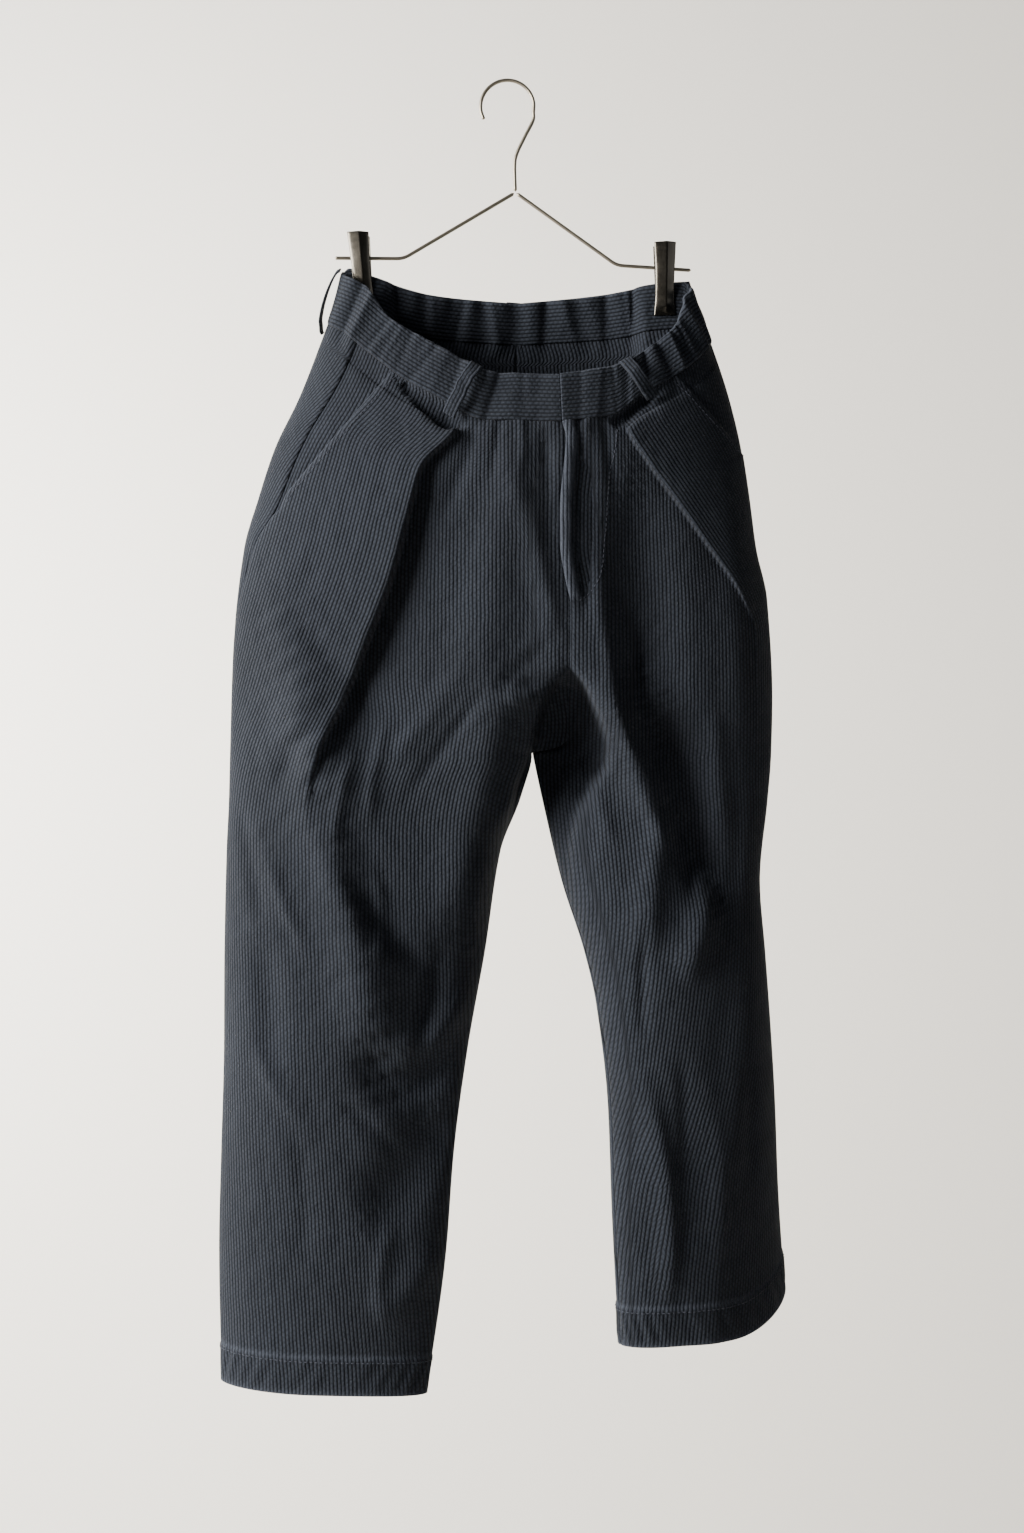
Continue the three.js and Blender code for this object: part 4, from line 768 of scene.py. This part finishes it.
def back_panel(half):
    def places_of(row):
        start = float(half.outseam(float(row_heights(half, row, np.array(0.9)))))
        infront = round(BACK_COLUMNS * (1 - start) / (2 - start))
        first = np.linspace(start, 1, infront + 1)[:-1] if infront else []
        return np.concatenate([first, np.linspace(max(start, 1), 2, BACK_COLUMNS + 1 - infront)])

    def layer(row, r, z):
        return rounded(r, HEM_LAYER if row >= HEM_ROW else 0)

    outer, inner, r, z = panel(half, places_of, range(ROWS), 0, CLOTH, layer, fine_creases(half))
    across = weave_arcs(half, r, z)
    reference = np.zeros(ROWS)
    for i in range(ROWS):
        line = outer[i, :, 0]
        hit = np.argmin(np.abs(line[10:] - half.grain)) + 10
        reference[i] = across[i, hit]
    kernel = np.hanning(25) / np.hanning(25).sum()
    reference = np.convolve(np.pad(reference, 12, mode="edge"), kernel, mode="valid")
    u = across - reference[:, None]
    v = from_crotch(outer)
    wear = np.maximum(hem_wear(half, outer, r, z), 0.4 * edge_wear(outer, ("first",), 2.2))
    return wall("cloth_back_" + half.name, outer, inner, (u, v), wear)


def pocket_facing(half):
    last = 0
    while float(row_heights(half, last, np.array(0.9))) > half.pocket["z1"] - (8 if half is RIGHT else 0):
        last += 1

    def places_of(row):
        seam = float(half.outseam(float(row_heights(half, row, np.array(0.9)))))
        start = min(place_of_line(half, row, mouth_line(half)), seam - 0.02) - POCKET_TUCK
        return np.linspace(start, seam, 26)

    # The facing lies deeper behind the open mouth
    deeper = (1 - smooth(np.linspace(0, 1, 26), 0.1, 0.75)) * smooth(np.arange(last), 1, 8)[:, None]
    sunk = CLOTH + 0.4 + 2.2 * deeper
    outer, inner = panel(half, places_of, range(last), sunk, CLOTH - 0.2, lambda row, r, z: 0)[:2]
    across = arcs(outer, 1)
    uv = (across - across[:, -1:], arcs(outer, 0))
    return wall("cloth_pocket_facing_" + half.name, outer, inner, uv)


def fly_facing():
    half = LEFT
    sunk = CLOTH + FLY["seat"]
    top = float(half.seam["front"](0)) - 3
    shares = np.concatenate([np.linspace(0, 0.72, 40), np.linspace(0.74, 1, 26)])
    z = lerp(top, FLY["foot"], shares)
    rest = z - FLY["foot"]
    curve = np.where(rest < FLY["curve"], np.sqrt(np.maximum(1 - (1 - rest / FLY["curve"]) ** 2, 0)), 1)
    reach = half.section["outer"](z) - centre["front"](z)
    across = np.linspace(0, 1, 16)
    offsets = 1 + FLY["wide"] * np.maximum(curve, 0.12)[:, None] * across[None, :]
    r = np.arcsin(offsets / reach[:, None]) * 2 / np.pi
    zz = np.repeat(z[:, None], 16, 1)
    points = cloth(half, r, zz)
    normals = cloth_normal(half, r, zz)
    outer = points - normals * sunk
    inner = points - normals * (sunk + FLY["wall"])
    return wall("cloth_fly_facing", outer, inner, (arcs(outer, 1), arcs(outer, 0)))


def band_point(half, face, at, up):
    b = half.band[face]
    seam_at, top_at = b["seamAt"](at), b["topAt"](at)
    t = lerp(seam_at, top_at, up)
    z = lerp(half.seam[face](seam_at) + BAND_GAP, b["topZ"](at), up)
    r = t if face == "front" else 2 - t
    return cloth(half, r, z), cloth_normal(half, r, z)


def gather(half, face, at, up, x):
    """The waves and pinches of the elastic, in millimetres."""
    wave = np.cos(2 * np.pi * at * GATHER["length"] / GATHER["pitch"]) * GATHER[face]
    for place, half_wide, high, lean in PINCHES[(half.name, face)]:
        wave = wave + GATHER["pinch"] * high * np.exp(-(((at - place - lean * (up - 0.5)) / half_wide) ** 2))
    swell = 0.75 + 0.25 * np.cos(at * 9 + half.sign)
    flat = smooth(at, 0.04, 0.25) * 0.5 + 0.5 if face == "front" else 1
    near_clip = beside_clip(half, x) if face == "back" else 1
    return wave * swell * flat * near_clip * (1 - smooth(at, 0.93, 1)) * lerp(0.7, 1, up)


def band_grids(half, face, start, end, count):
    ups = np.array([0, 0.03, 0.07, 0.13, 0.22, 0.32, 0.42, 0.52, 0.62, 0.72, 0.8, 0.87, 0.93, 0.97, 1])
    at = np.linspace(start, end, count)[None, :] * np.ones((len(ups), 1))
    up = ups[:, None] * np.ones((1, count))
    points, normals = band_point(half, face, at, up)
    wave = gather(half, face, at, up, points[..., 0])
    puff = 0.5 * np.sin(np.pi * up) ** 0.5
    round_off = -0.9 * (np.exp(-up / 0.03) + np.exp(-(1 - up) / 0.03))
    lap = 1.6 * (1 - smooth(at, 0.03, 0.22)) if (half is LEFT and face == "front") else 0
    outer = points + normals * (BAND_LAYER + wave + puff + round_off + lap)[..., None]
    inner = points + normals * (BAND_LAYER - BAND_WALL + wave - puff * 0.6 - round_off)[..., None]
    return outer, inner


def band_object(name, outer, inner, sides=("foot",)):
    u = arcs(outer, 0)
    v = arcs(outer, 1)
    v = np.repeat(v[len(v) // 2][None, :], outer.shape[0], 0)
    wear = 0.7 * edge_wear(outer, sides, 1.6)
    return wall(name, outer, inner, (u, v), wear)


def front_band(half):
    outer, inner = band_grids(half, "front", 0.0, 0.995, 240)
    sides = ("foot",) if half is RIGHT else ("foot", "first")
    return band_object("cloth_band_front_" + half.name, outer, inner, sides)


def back_band():
    a = band_grids(RIGHT, "back", 0.995, 0.006, 240)
    b = band_grids(LEFT, "back", 0.006, 0.995, 240)
    outer, inner = (np.concatenate([x, y], axis=1) for x, y in zip(a, b))
    return band_object("cloth_band_back", outer, inner)


def belt_loop(name, half, face, at, end, stand):
    f = np.linspace(0, 1, 48)
    b = half.band[face]
    high = float(b["topZ"](at) - b["seamZ"](at))
    up = lerp(1.02, -LOOP["below"] / high, f)
    lean = lerp(at, end, f)
    here, _ = band_point(half, face, lean, up)
    beside, _ = band_point(half, face, lean + 0.02, up)
    along = unit(beside - here)
    t = lerp(b["seamAt"](lean), b["topAt"](lean), up)
    normal = cloth_normal(half, t if face == "front" else 2 - t, here[:, 2])
    wave = gather(half, face, lean, np.minimum(up, 1), here[:, 0])
    under = (BAND_LAYER + wave) * smooth(up, -0.1, 0.02)
    off = under + LOOP["seat"] + stand * np.sin(np.pi * f) ** 0.6
    side = np.linspace(-1, 1, 13)
    ribs = 0.22 * np.cos(side * np.pi * 3)
    edge = -0.35 * np.abs(side) ** 8
    base = here[:, None, :] + along[:, None, :] * (side * LOOP["wide"] / 2)[None, :, None]
    outer = base + normal[:, None, :] * (off[:, None] + LOOP["wall"] + ribs + edge)[..., None]
    inner = base + normal[:, None, :] * (off[:, None] - edge * 0.5)[..., None]
    wear = 0.35 * edge_wear(outer, ("first", "last", "top", "foot"), 1.5)
    return wall(name, outer, inner, (arcs(outer, 1), arcs(outer, 0)), wear)


# The sewing: short thread dashes laid on the cloth's own grids
STITCH = {"long": 3.3, "pitch": 4.6, "thick": 0.42, "mouth": 6.0, "columns": 260}
stitches = []


def on_grid(grid, rows, cols):
    i = np.clip(np.floor(rows).astype(int), 0, grid.shape[0] - 2)
    j = np.clip(np.floor(cols).astype(int), 0, grid.shape[1] - 2)
    u = (rows - i)[:, None]
    v = (cols - j)[:, None]
    low = lerp(grid[i, j], grid[i, j + 1], v)
    return lerp(low, lerp(grid[i + 1, j], grid[i + 1, j + 1], v), u)


def sew(name, rows, cols):
    """A row of stitches along a line given by its rows and columns on a wall's outer grid."""
    outer, inner = GRIDS[name]
    rows = np.asarray(rows, float)
    cols = np.asarray(cols, float)
    line = on_grid(outer, rows, cols)
    run = np.concatenate([[0], np.cumsum(np.linalg.norm(np.diff(line, axis=0), axis=1))])
    middles = np.arange(STITCH["pitch"] / 2, run[-1], STITCH["pitch"])
    half_long = STITCH["long"] / 2

    def at(distance):
        r = np.interp(distance, run, rows)
        c = np.interp(distance, run, cols)
        return on_grid(outer, r, c), unit(on_grid(outer, r, c) - on_grid(inner, r, c))

    stations = [at(middles + k * half_long) for k in (-1, -0.7, 0, 0.7, 1)]
    for k in range(len(middles)):
        stitches.append([(p[k], n[k]) for p, n in stations])


def rod_faces(first, rings, sides):
    """The faces of a closed rod whose rings of points start at a number, with both ends capped."""
    last = first + (rings - 1) * sides
    faces = []
    for a in range(first, last, sides):
        b = a + sides
        for k in range(sides):
            m = (k + 1) % sides
            faces.append((a + k, a + m, b + m, b + k))
    faces.append(tuple(range(first, first + sides))[::-1])
    faces.append(tuple(range(last, last + sides)))
    return faces


def stitch_mesh():
    points = []
    faces = []
    sides = 6
    for stations in stitches:
        first = len(points)
        ends = stations[-1][0] - stations[0][0]
        along = ends / max(np.linalg.norm(ends), 1e-6)
        for (p, n), share, lift in zip(stations, (0.35, 0.9, 1, 0.9, 0.35), (-0.15, 0.1, 0.3, 0.1, -0.15)):
            across = np.cross(along, n)
            radius = STITCH["thick"] * share
            for k in range(sides):
                a = 2 * math.pi * k / sides
                points.append((p + n * (lift + radius * math.sin(a)) + across * radius * math.cos(a)) * MM)
        faces += rod_faces(first, len(stations), sides)
    return new_object("stitching", points, faces)


def column_at(name, row, distance, from_last=False):
    """The fractional column at some millimetres from a grid's side in one row."""
    grid = GRIDS[name][0]
    step = np.linalg.norm(np.diff(grid[row], axis=0), axis=1)
    run = np.concatenate([[0], np.cumsum(step)])
    if from_last:
        distance = run[-1] - distance
    return float(np.interp(distance, run, np.arange(len(run))))


def sew_all():
    for half in (RIGHT, LEFT):
        for face in ("front", "back"):
            name = "cloth_" + face + "_" + half.name
            last = GRIDS[name][0].shape[1] - 1
            sew(name, np.full(STITCH["columns"], HEM_ROW + 1.6), np.linspace(0, last, STITCH["columns"]))
        name = "cloth_front_" + half.name
        grid = GRIDS[name][0]
        rows = [i for i in range(2, CROTCH_ROW) if grid[i, -1, 2] > half.pocket["z1"] - 4]
        sew(name, rows, [column_at(name, i, STITCH["mouth"], True) for i in rows])
    name = "cloth_front_left"
    grid = GRIDS[name][0]
    foot = [(-473.5, 1.5), (-471, 9), (-464, 22), (-451, 35), (-430, 42), (-395, 46), (-325, 49)]
    reach = column(foot, 0, 1)
    rows = [i for i in range(3, CROTCH_ROW) if grid[i, 10, 2] > -473]
    sew(name, rows, [column_at(name, i, float(reach(grid[i, 20, 2]))) for i in rows])


# Materials
def set_inputs(node, values):
    for name, value in values.items():
        node.inputs[name].default_value = value


def principled(name):
    material = bpy.data.materials.new(name)
    material.use_nodes = True
    tree = material.node_tree
    return material, tree, tree.nodes["Principled BSDF"]


class Graph:
    """Short names for making a material's nodes."""

    def __init__(self, tree):
        self.tree = tree

    def put(self, socket, value):
        if isinstance(value, (int, float, tuple)):
            socket.default_value = value
        else:
            self.tree.links.new(value, socket)

    def math(self, operation, a, b=0.0, c=0.0):
        node = self.tree.nodes.new("ShaderNodeMath")
        node.operation = operation
        for socket, value in zip(node.inputs, (a, b, c)):
            self.put(socket, value)
        return node.outputs[0]

    def noise(self, vector, scale, detail=2.0):
        node = self.tree.nodes.new("ShaderNodeTexNoise")
        set_inputs(node, {"Scale": scale, "Detail": detail})
        self.tree.links.new(vector, node.inputs["Vector"])
        return node.outputs["Fac"]

    def times(self, a, b):
        return self.math("MULTIPLY", a, b)

    def plus(self, a, b):
        return self.math("ADD", a, b)

    def less(self, a, b):
        return self.math("SUBTRACT", a, b)

    def bump(self, height, strength, distance, below=None):
        node = self.tree.nodes.new("ShaderNodeBump")
        set_inputs(node, {"Strength": strength, "Distance": distance})
        self.tree.links.new(height, node.inputs["Height"])
        if below is not None:
            self.tree.links.new(below, node.inputs["Normal"])
        return node.outputs[0]

    def mix(self, factor, a, b):
        node = self.tree.nodes.new("ShaderNodeMix")
        node.data_type = "RGBA"
        self.put(node.inputs[0], factor)
        self.put(node.inputs[6], a)
        self.put(node.inputs[7], b)
        return node.outputs[2]


def srgb(r, g, b):
    shares = [c / 255 for c in (r, g, b)]
    return tuple(c / 12.92 if c <= 0.04045 else ((c + 0.055) / 1.055) ** 2.4 for c in shares) + (1.0,)


def cloth_material(name, ground_and_pit_shade, grain, worn):
    """Ribs of rice-grain stitches: a rib is a row of grains, and every second rib is half a grain along. The
    colour is lighter where the grains stand up and darker in the pits between them: painted shade in the
    pits.
    """
    material, tree, shader = principled(name)
    g = Graph(tree)
    uv = tree.nodes.new("ShaderNodeUVMap")
    uv.uv_map = "weave"
    split = tree.nodes.new("ShaderNodeSeparateXYZ")
    tree.links.new(uv.outputs[0], split.inputs[0])
    place = tree.nodes.new("ShaderNodeTexCoord").outputs["Object"]
    wander = g.times(g.less(g.noise(place, NOISE["wander"]), 0.5), 0.5)
    across = g.plus(g.math("DIVIDE", split.outputs[0], RIB * MM), wander)
    along = g.math("DIVIDE", split.outputs[1], GRAIN * MM)
    a = g.less(g.math("FRACT", across), 0.5)
    odd = g.times(g.math("FLOORED_MODULO", g.math("FLOOR", across), 2.0), 0.5)
    b = g.less(g.math("FRACT", g.plus(along, odd)), 0.5)
    rib_height = g.less(1.0, g.times(g.times(a, a), 4.0))
    grain_height = g.less(1.0, g.times(g.times(g.times(b, b), 4.0), 0.42))
    height = g.times(rib_height, grain_height)
    fibre = g.noise(place, NOISE["fibre"], 3.0)
    lumps = g.noise(place, NOISE["lumps"])
    relief = g.plus(height, g.plus(g.times(fibre, 0.35), g.times(lumps, 0.35)))
    uneven = g.bump(g.noise(place, NOISE["waves"]), 0.6, 0.006)
    tree.links.new(g.bump(relief, 0.85, 0.0011, uneven), shader.inputs["Normal"])
    wear = tree.nodes.new("ShaderNodeAttribute")
    wear.attribute_name = "wear"
    fade = g.noise(place, NOISE["fade"], 3.0)
    # Painted shade: the pits of the weave take the dark ground colour and the raised grains the lighter
    # weave colour, with slow noise for the yarn's own uneven tone
    lit = g.times(height, g.plus(0.55, g.times(fade, 0.75)))
    body = g.mix(lit, ground_and_pit_shade, grain)
    worn_here = g.times(wear.outputs["Fac"], g.plus(0.35, g.times(lumps, 0.5)))
    tree.links.new(g.mix(worn_here, body, worn), shader.inputs["Base Color"])
    set_inputs(shader, {
        "Roughness": 0.92,
        "Specular IOR Level": 0.15,
        "Sheen Weight": 0.05,
        "Sheen Roughness": 0.45,
        "Sheen Tint": (0.55, 0.57, 0.64, 1.0),
    })
    return material


def metal_material(name, colour, roughness):
    material, tree, shader = principled(name)
    g = Graph(tree)
    place = tree.nodes.new("ShaderNodeTexCoord").outputs["Object"]
    set_inputs(shader, {"Base Color": colour, "Metallic": 1.0})
    rough = g.plus(roughness, g.times(g.noise(place, NOISE["metal"]), 0.12))
    tree.links.new(rough, shader.inputs["Roughness"])
    return material


def plain(name, colour, roughness):
    material, _, shader = principled(name)
    set_inputs(shader, {"Base Color": colour, "Roughness": roughness})
    return material


# The cloth's ground colour, which also serves as painted shade in the pits of the weave
GROUND_AND_PIT_SHADE = srgb(9, 10, 13)
WEAVE = srgb(43, 47, 55)
WORN = srgb(66, 70, 79)
cloth_look = cloth_material("sashiko_cloth", GROUND_AND_PIT_SHADE, WEAVE, WORN)
thread_look = plain("sewing_thread", srgb(45, 48, 58), 0.85)
wire_look = metal_material("hanger_wire", srgb(140, 132, 118), 0.34)
clip_look = metal_material("clip_metal", srgb(82, 78, 71), 0.17)


def finish(obj, slot, look, *nodes):
    obj.data.materials.append(look)
    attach(obj, "root")
    if nodes:
        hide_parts(*nodes)


def finish_cloth(obj, node, slot):
    finish(obj, slot, cloth_look, node)


def hang_panel(make, half, node):
    finish_cloth(make(half), node, "cloth")


for h in (RIGHT, LEFT):
    hang_panel(front_panel, h, "front_" + h.name)
for h in (RIGHT, LEFT):
    hang_panel(back_panel, h, "back_" + h.name)
for h, long in ((RIGHT, 0.25), (LEFT, 0.18)):
    band = "band_front_" + h.name
    hang_panel(pocket_facing, h, "pocket_facing_" + h.name)
    finish_cloth(front_band(h), band, "waistband")
finish_cloth(fly_facing(), "fly_facing", "cloth")
finish_cloth(back_band(), "band_back", "waistband")
# Each loop: its half and face, where it starts and ends along the band, how far it stands off
for name, h, face, at, end, stand in (
    ("belt_loop_side_right", RIGHT, "front", 0.99, 0.99, 6.8),
    ("belt_loop_side_left", LEFT, "back", 0.83, 0.83, 8.0),
    ("belt_loop_front_right", RIGHT, "front", 0.29, 0.32, 9.0),
    ("belt_loop_front_left", LEFT, "front", 0.27, 0.4, 9.0),
    ("belt_loop_back", RIGHT, "back", 0.012, 0.012, 8.0),
):
    band = "band_front_" + h.name if face == "front" else "band_back"
    loop = belt_loop("cloth_" + name, h, face, at, end, stand)
    finish_cloth(loop, name, "belt_loops")

sew_all()
finish(stitch_mesh(), "cloth", thread_look)


# The hanger
def tube(name, path, radius, sides=20):
    """A closed round tube along a path in millimetres, with rounded ends."""
    path = np.asarray(path, float)
    tangent = unit(np.gradient(path, axis=0))
    side = np.array([0.0, 1.0, 0.0])
    angle = np.linspace(0, 2 * np.pi, sides, endpoint=False)
    rings = []
    length = np.concatenate([[0], np.cumsum(np.linalg.norm(np.diff(path, axis=0), axis=1))])
    for p, t, s in zip(path, tangent, length):
        u = unit(side - t * np.dot(side, t))
        v = np.cross(t, u)
        end = min(s, length[-1] - s)
        scale = radius * math.sqrt(max(1 - max(0.0, 1 - end / (radius * 0.5)) ** 2, 0.02))
        rings.append(p + scale * (np.cos(angle)[:, None] * u + np.sin(angle)[:, None] * v))
    return new_object(name, np.concatenate(rings) * MM, rod_faces(0, len(path), sides))


def catmull(points, count):
    """An even curve through points."""
    points = np.asarray(points, float)
    ends = np.concatenate([[2 * points[0] - points[1]], points, [2 * points[-1] - points[-2]]])
    out = []
    for u in np.linspace(0, len(points) - 1, count):
        i = min(int(u), len(points) - 2)
        f = u - i
        a, b, c, d = ends[i:i + 4]
        square = (2 * a - 5 * b + 4 * c - d) * f**2
        cube = (3 * b - a - 3 * c + d) * f**3
        out.append(0.5 * (2 * b + (c - a) * f + square + cube))
    return np.array(out)


HOOK = {"radius": 24.0, "x": -2.4, "begin": 208.0, "end": -12.0}
middle = WIRE / 2 - HOOK["radius"]
angles = np.radians(np.linspace(HOOK["begin"], HOOK["end"], 11))
curl = HOOK["radius"]
hook = [(HOOK["x"] + curl * math.cos(a), CLIP_MIDDLE, middle + curl * math.sin(a)) for a in angles]
hook += [(20.6, 0, -35), (13, 0, -50), (6, 0, -65), (4.2, 0, -76), (4.8, 0, -98.5)]
finish(tube("wire_hook", catmull(hook, 260), WIRE / 2), "wire", wire_look, "hanger_hook")


def arm_path(side, bend_x, bend_z, end_x, end_z):
    start = np.array([4.8 + side * 1.1, 0, -100.2])
    bend = np.array([bend_x, 0, bend_z], float)
    end = np.array([end_x, 0, end_z], float)
    before = bend + unit(start - bend) * 6
    after = bend + unit(end - bend) * 6
    u = np.linspace(0, 1, 14)[:, None]
    corner = (1 - u) ** 2 * before + 2 * u * (1 - u) * bend + u**2 * after
    head = before + (start - before) * np.linspace(1, 0, 60)[:-1, None]
    tail = after + (end - after) * np.linspace(0, 1, 40)[1:, None]
    return np.concatenate([head, corner, tail])


ARMS = {"right": (-1, -96, -159, -158, -158.5), "left": (1, 96, -165, 163, -169.5)}
for name, arm in ARMS.items():
    finish(tube("wire_arm_" + name, arm_path(*arm), WIRE / 2), "wire", wire_look, "hanger_arm_" + name)


def clip_jaw(name, clip, side):
    down = np.linspace(0, 1, 60)
    wide = through([0, 0.62, 1], [CLIP["top"], CLIP["waist"], CLIP["foot"]])(down)
    away = through(
        [0, 0.36, 0.62, 0.8, 1],
        [JAW["spread"], JAW["spread"], BAND_WALL / 2 + 2.6, BAND_WALL / 2 + 0.5, BAND_WALL / 2 + 0.5],
    )(down)
    z = clip["wire"] + CLIP["above"] - CLIP["high"] * down
    x = clip["x"] + clip["lean"] * (down - 0.4) * 2
    y = CLIP_MIDDLE + side * away
    ridge = JAW["ridge"] * (1 - smooth(down, 0.85, 1))
    u = np.linspace(-1, 1, 25)
    top = JAW["ridge_at"]
    profile = np.where(u < top, (u + 1) / (1 + top), (1 - u) / (1 - top)) ** 0.9
    out = ridge[:, None] * profile[None, :]
    xs = x[:, None] + u[None, :] * wide[:, None] / 2
    zs = np.repeat(z[:, None], 25, 1)
    crisp = 0.25 * np.abs(u)[None, :] ** 10
    outer = np.stack([xs, y[:, None] + side * (out + CLIP["wall"] - crisp), zs], -1)
    inner = np.stack([xs, y[:, None] + side * out, zs], -1)
    return wall(name, outer, inner)


def coil(name, clip, arm):
    _, bend_x, bend_z, end_x, end_z = arm
    share = (clip["x"] - bend_x) / (end_x - bend_x)
    direction = unit(np.array([end_x - bend_x, 0, end_z - bend_z], float))
    middle_of = np.array([clip["x"], CLIP_MIDDLE, lerp(bend_z, end_z, share)])
    turns = 7
    radius = SPRING["radius"] - SPRING["inset"]
    u = np.linspace(0, 1, turns * 24)
    a = 2 * np.pi * turns * u
    up = np.array([0.0, 1.0, 0.0])
    across = np.cross(direction, up)
    along = (u - 0.5) * (SPRING["long"] - SPRING["wire"])
    around = radius * (np.cos(a)[:, None] * up + np.sin(a)[:, None] * across)
    return tube(name, middle_of + along[:, None] * direction + around, SPRING["wire"] / 2, 8)


for name, clip in (("right", RIGHT_CLIP), ("left", LEFT_CLIP)):
    finish(clip_jaw("clip_front_" + name, clip, -1), "clips", clip_look, "clip_jaw_inner_" + name)
    finish(clip_jaw("clip_rear_" + name, clip, 1), "clips", clip_look, "clip_jaw_outer_" + name)
    finish(coil("clip_coil_" + name, clip, ARMS[name]), "clips", clip_look, "clip_spring_" + name)

# The room, the light and the camera
PHOTO = {"distance": 1.700, "x": 0.0018, "z": -0.616, "sensor": 36.0, "tall": 1379.7}


def slab(name, low, high, material):
    x0, y0, z0 = low
    x1, y1, z1 = high
    points = [(x, y, z) for x in (x0, x1) for y in (y0, y1) for z in (z0, z1)]
    faces = [(0, 1, 3, 2), (4, 6, 7, 5), (0, 4, 5, 1), (2, 3, 7, 6), (0, 2, 6, 4), (1, 5, 7, 3)]
    obj = new_object(name, points, faces, smooth_faces=False)
    obj.data.materials.append(material)


# The wall stands far enough behind that the back of the trousers can be seen from in front of it
WALL, FLOOR = 3.3, -3.1
slab("backdrop", (-8, WALL, -3.2), (8, 3.4, 5), plain("pale_wall", (0.93, 0.885, 0.81, 1), 0.9))
slab("floor", (-8, -7, -3.2), (8, WALL, FLOOR), plain("pale_floor", (0.72, 0.71, 0.68, 1), 0.8))


def area_light(name, place, target, size, power, colour):
    light = bpy.data.lights.new(name, "AREA")
    light.shape = "RECTANGLE"
    light.size, light.size_y = size
    light.energy = power
    light.color = colour
    obj = linked(name, light)
    obj.location = place
    obj.rotation_euler = (Vector(target) - Vector(place)).to_track_quat("-Z", "Y").to_euler()


area_light("window", (-3.3, -1.55, 0.4), (0, 0, -0.6), (2.2, 2.4), 600, (1, 0.985, 0.955))
area_light("wall_wash", (-2.9, 1.2, -0.3), (-0.7, 3.3, -0.7), (1.6, 1.8), 300, (1, 0.99, 0.965))
area_light("room", (2.7, -1.3, 0.4), (0, 0, -0.6), (2.0, 2.0), 10, (0.94, 0.96, 1))

world = bpy.data.worlds.new("room_light")
world.use_nodes = True
set_inputs(world.node_tree.nodes["Background"], {"Color": (0.80, 0.83, 0.88, 1), "Strength": 0.07})
bpy.context.scene.world = world

camera_data = bpy.data.cameras.new("camera")
camera = linked("camera", camera_data)
bpy.context.scene.camera = camera
camera_data.sensor_fit = "VERTICAL"
camera_data.sensor_height = PHOTO["sensor"]
camera_data.lens = PHOTO["sensor"] * PHOTO["distance"] * 1000 / PHOTO["tall"]
camera.location = (PHOTO["x"], -PHOTO["distance"], PHOTO["z"])
camera.rotation_euler = (math.pi / 2, 0, 0)
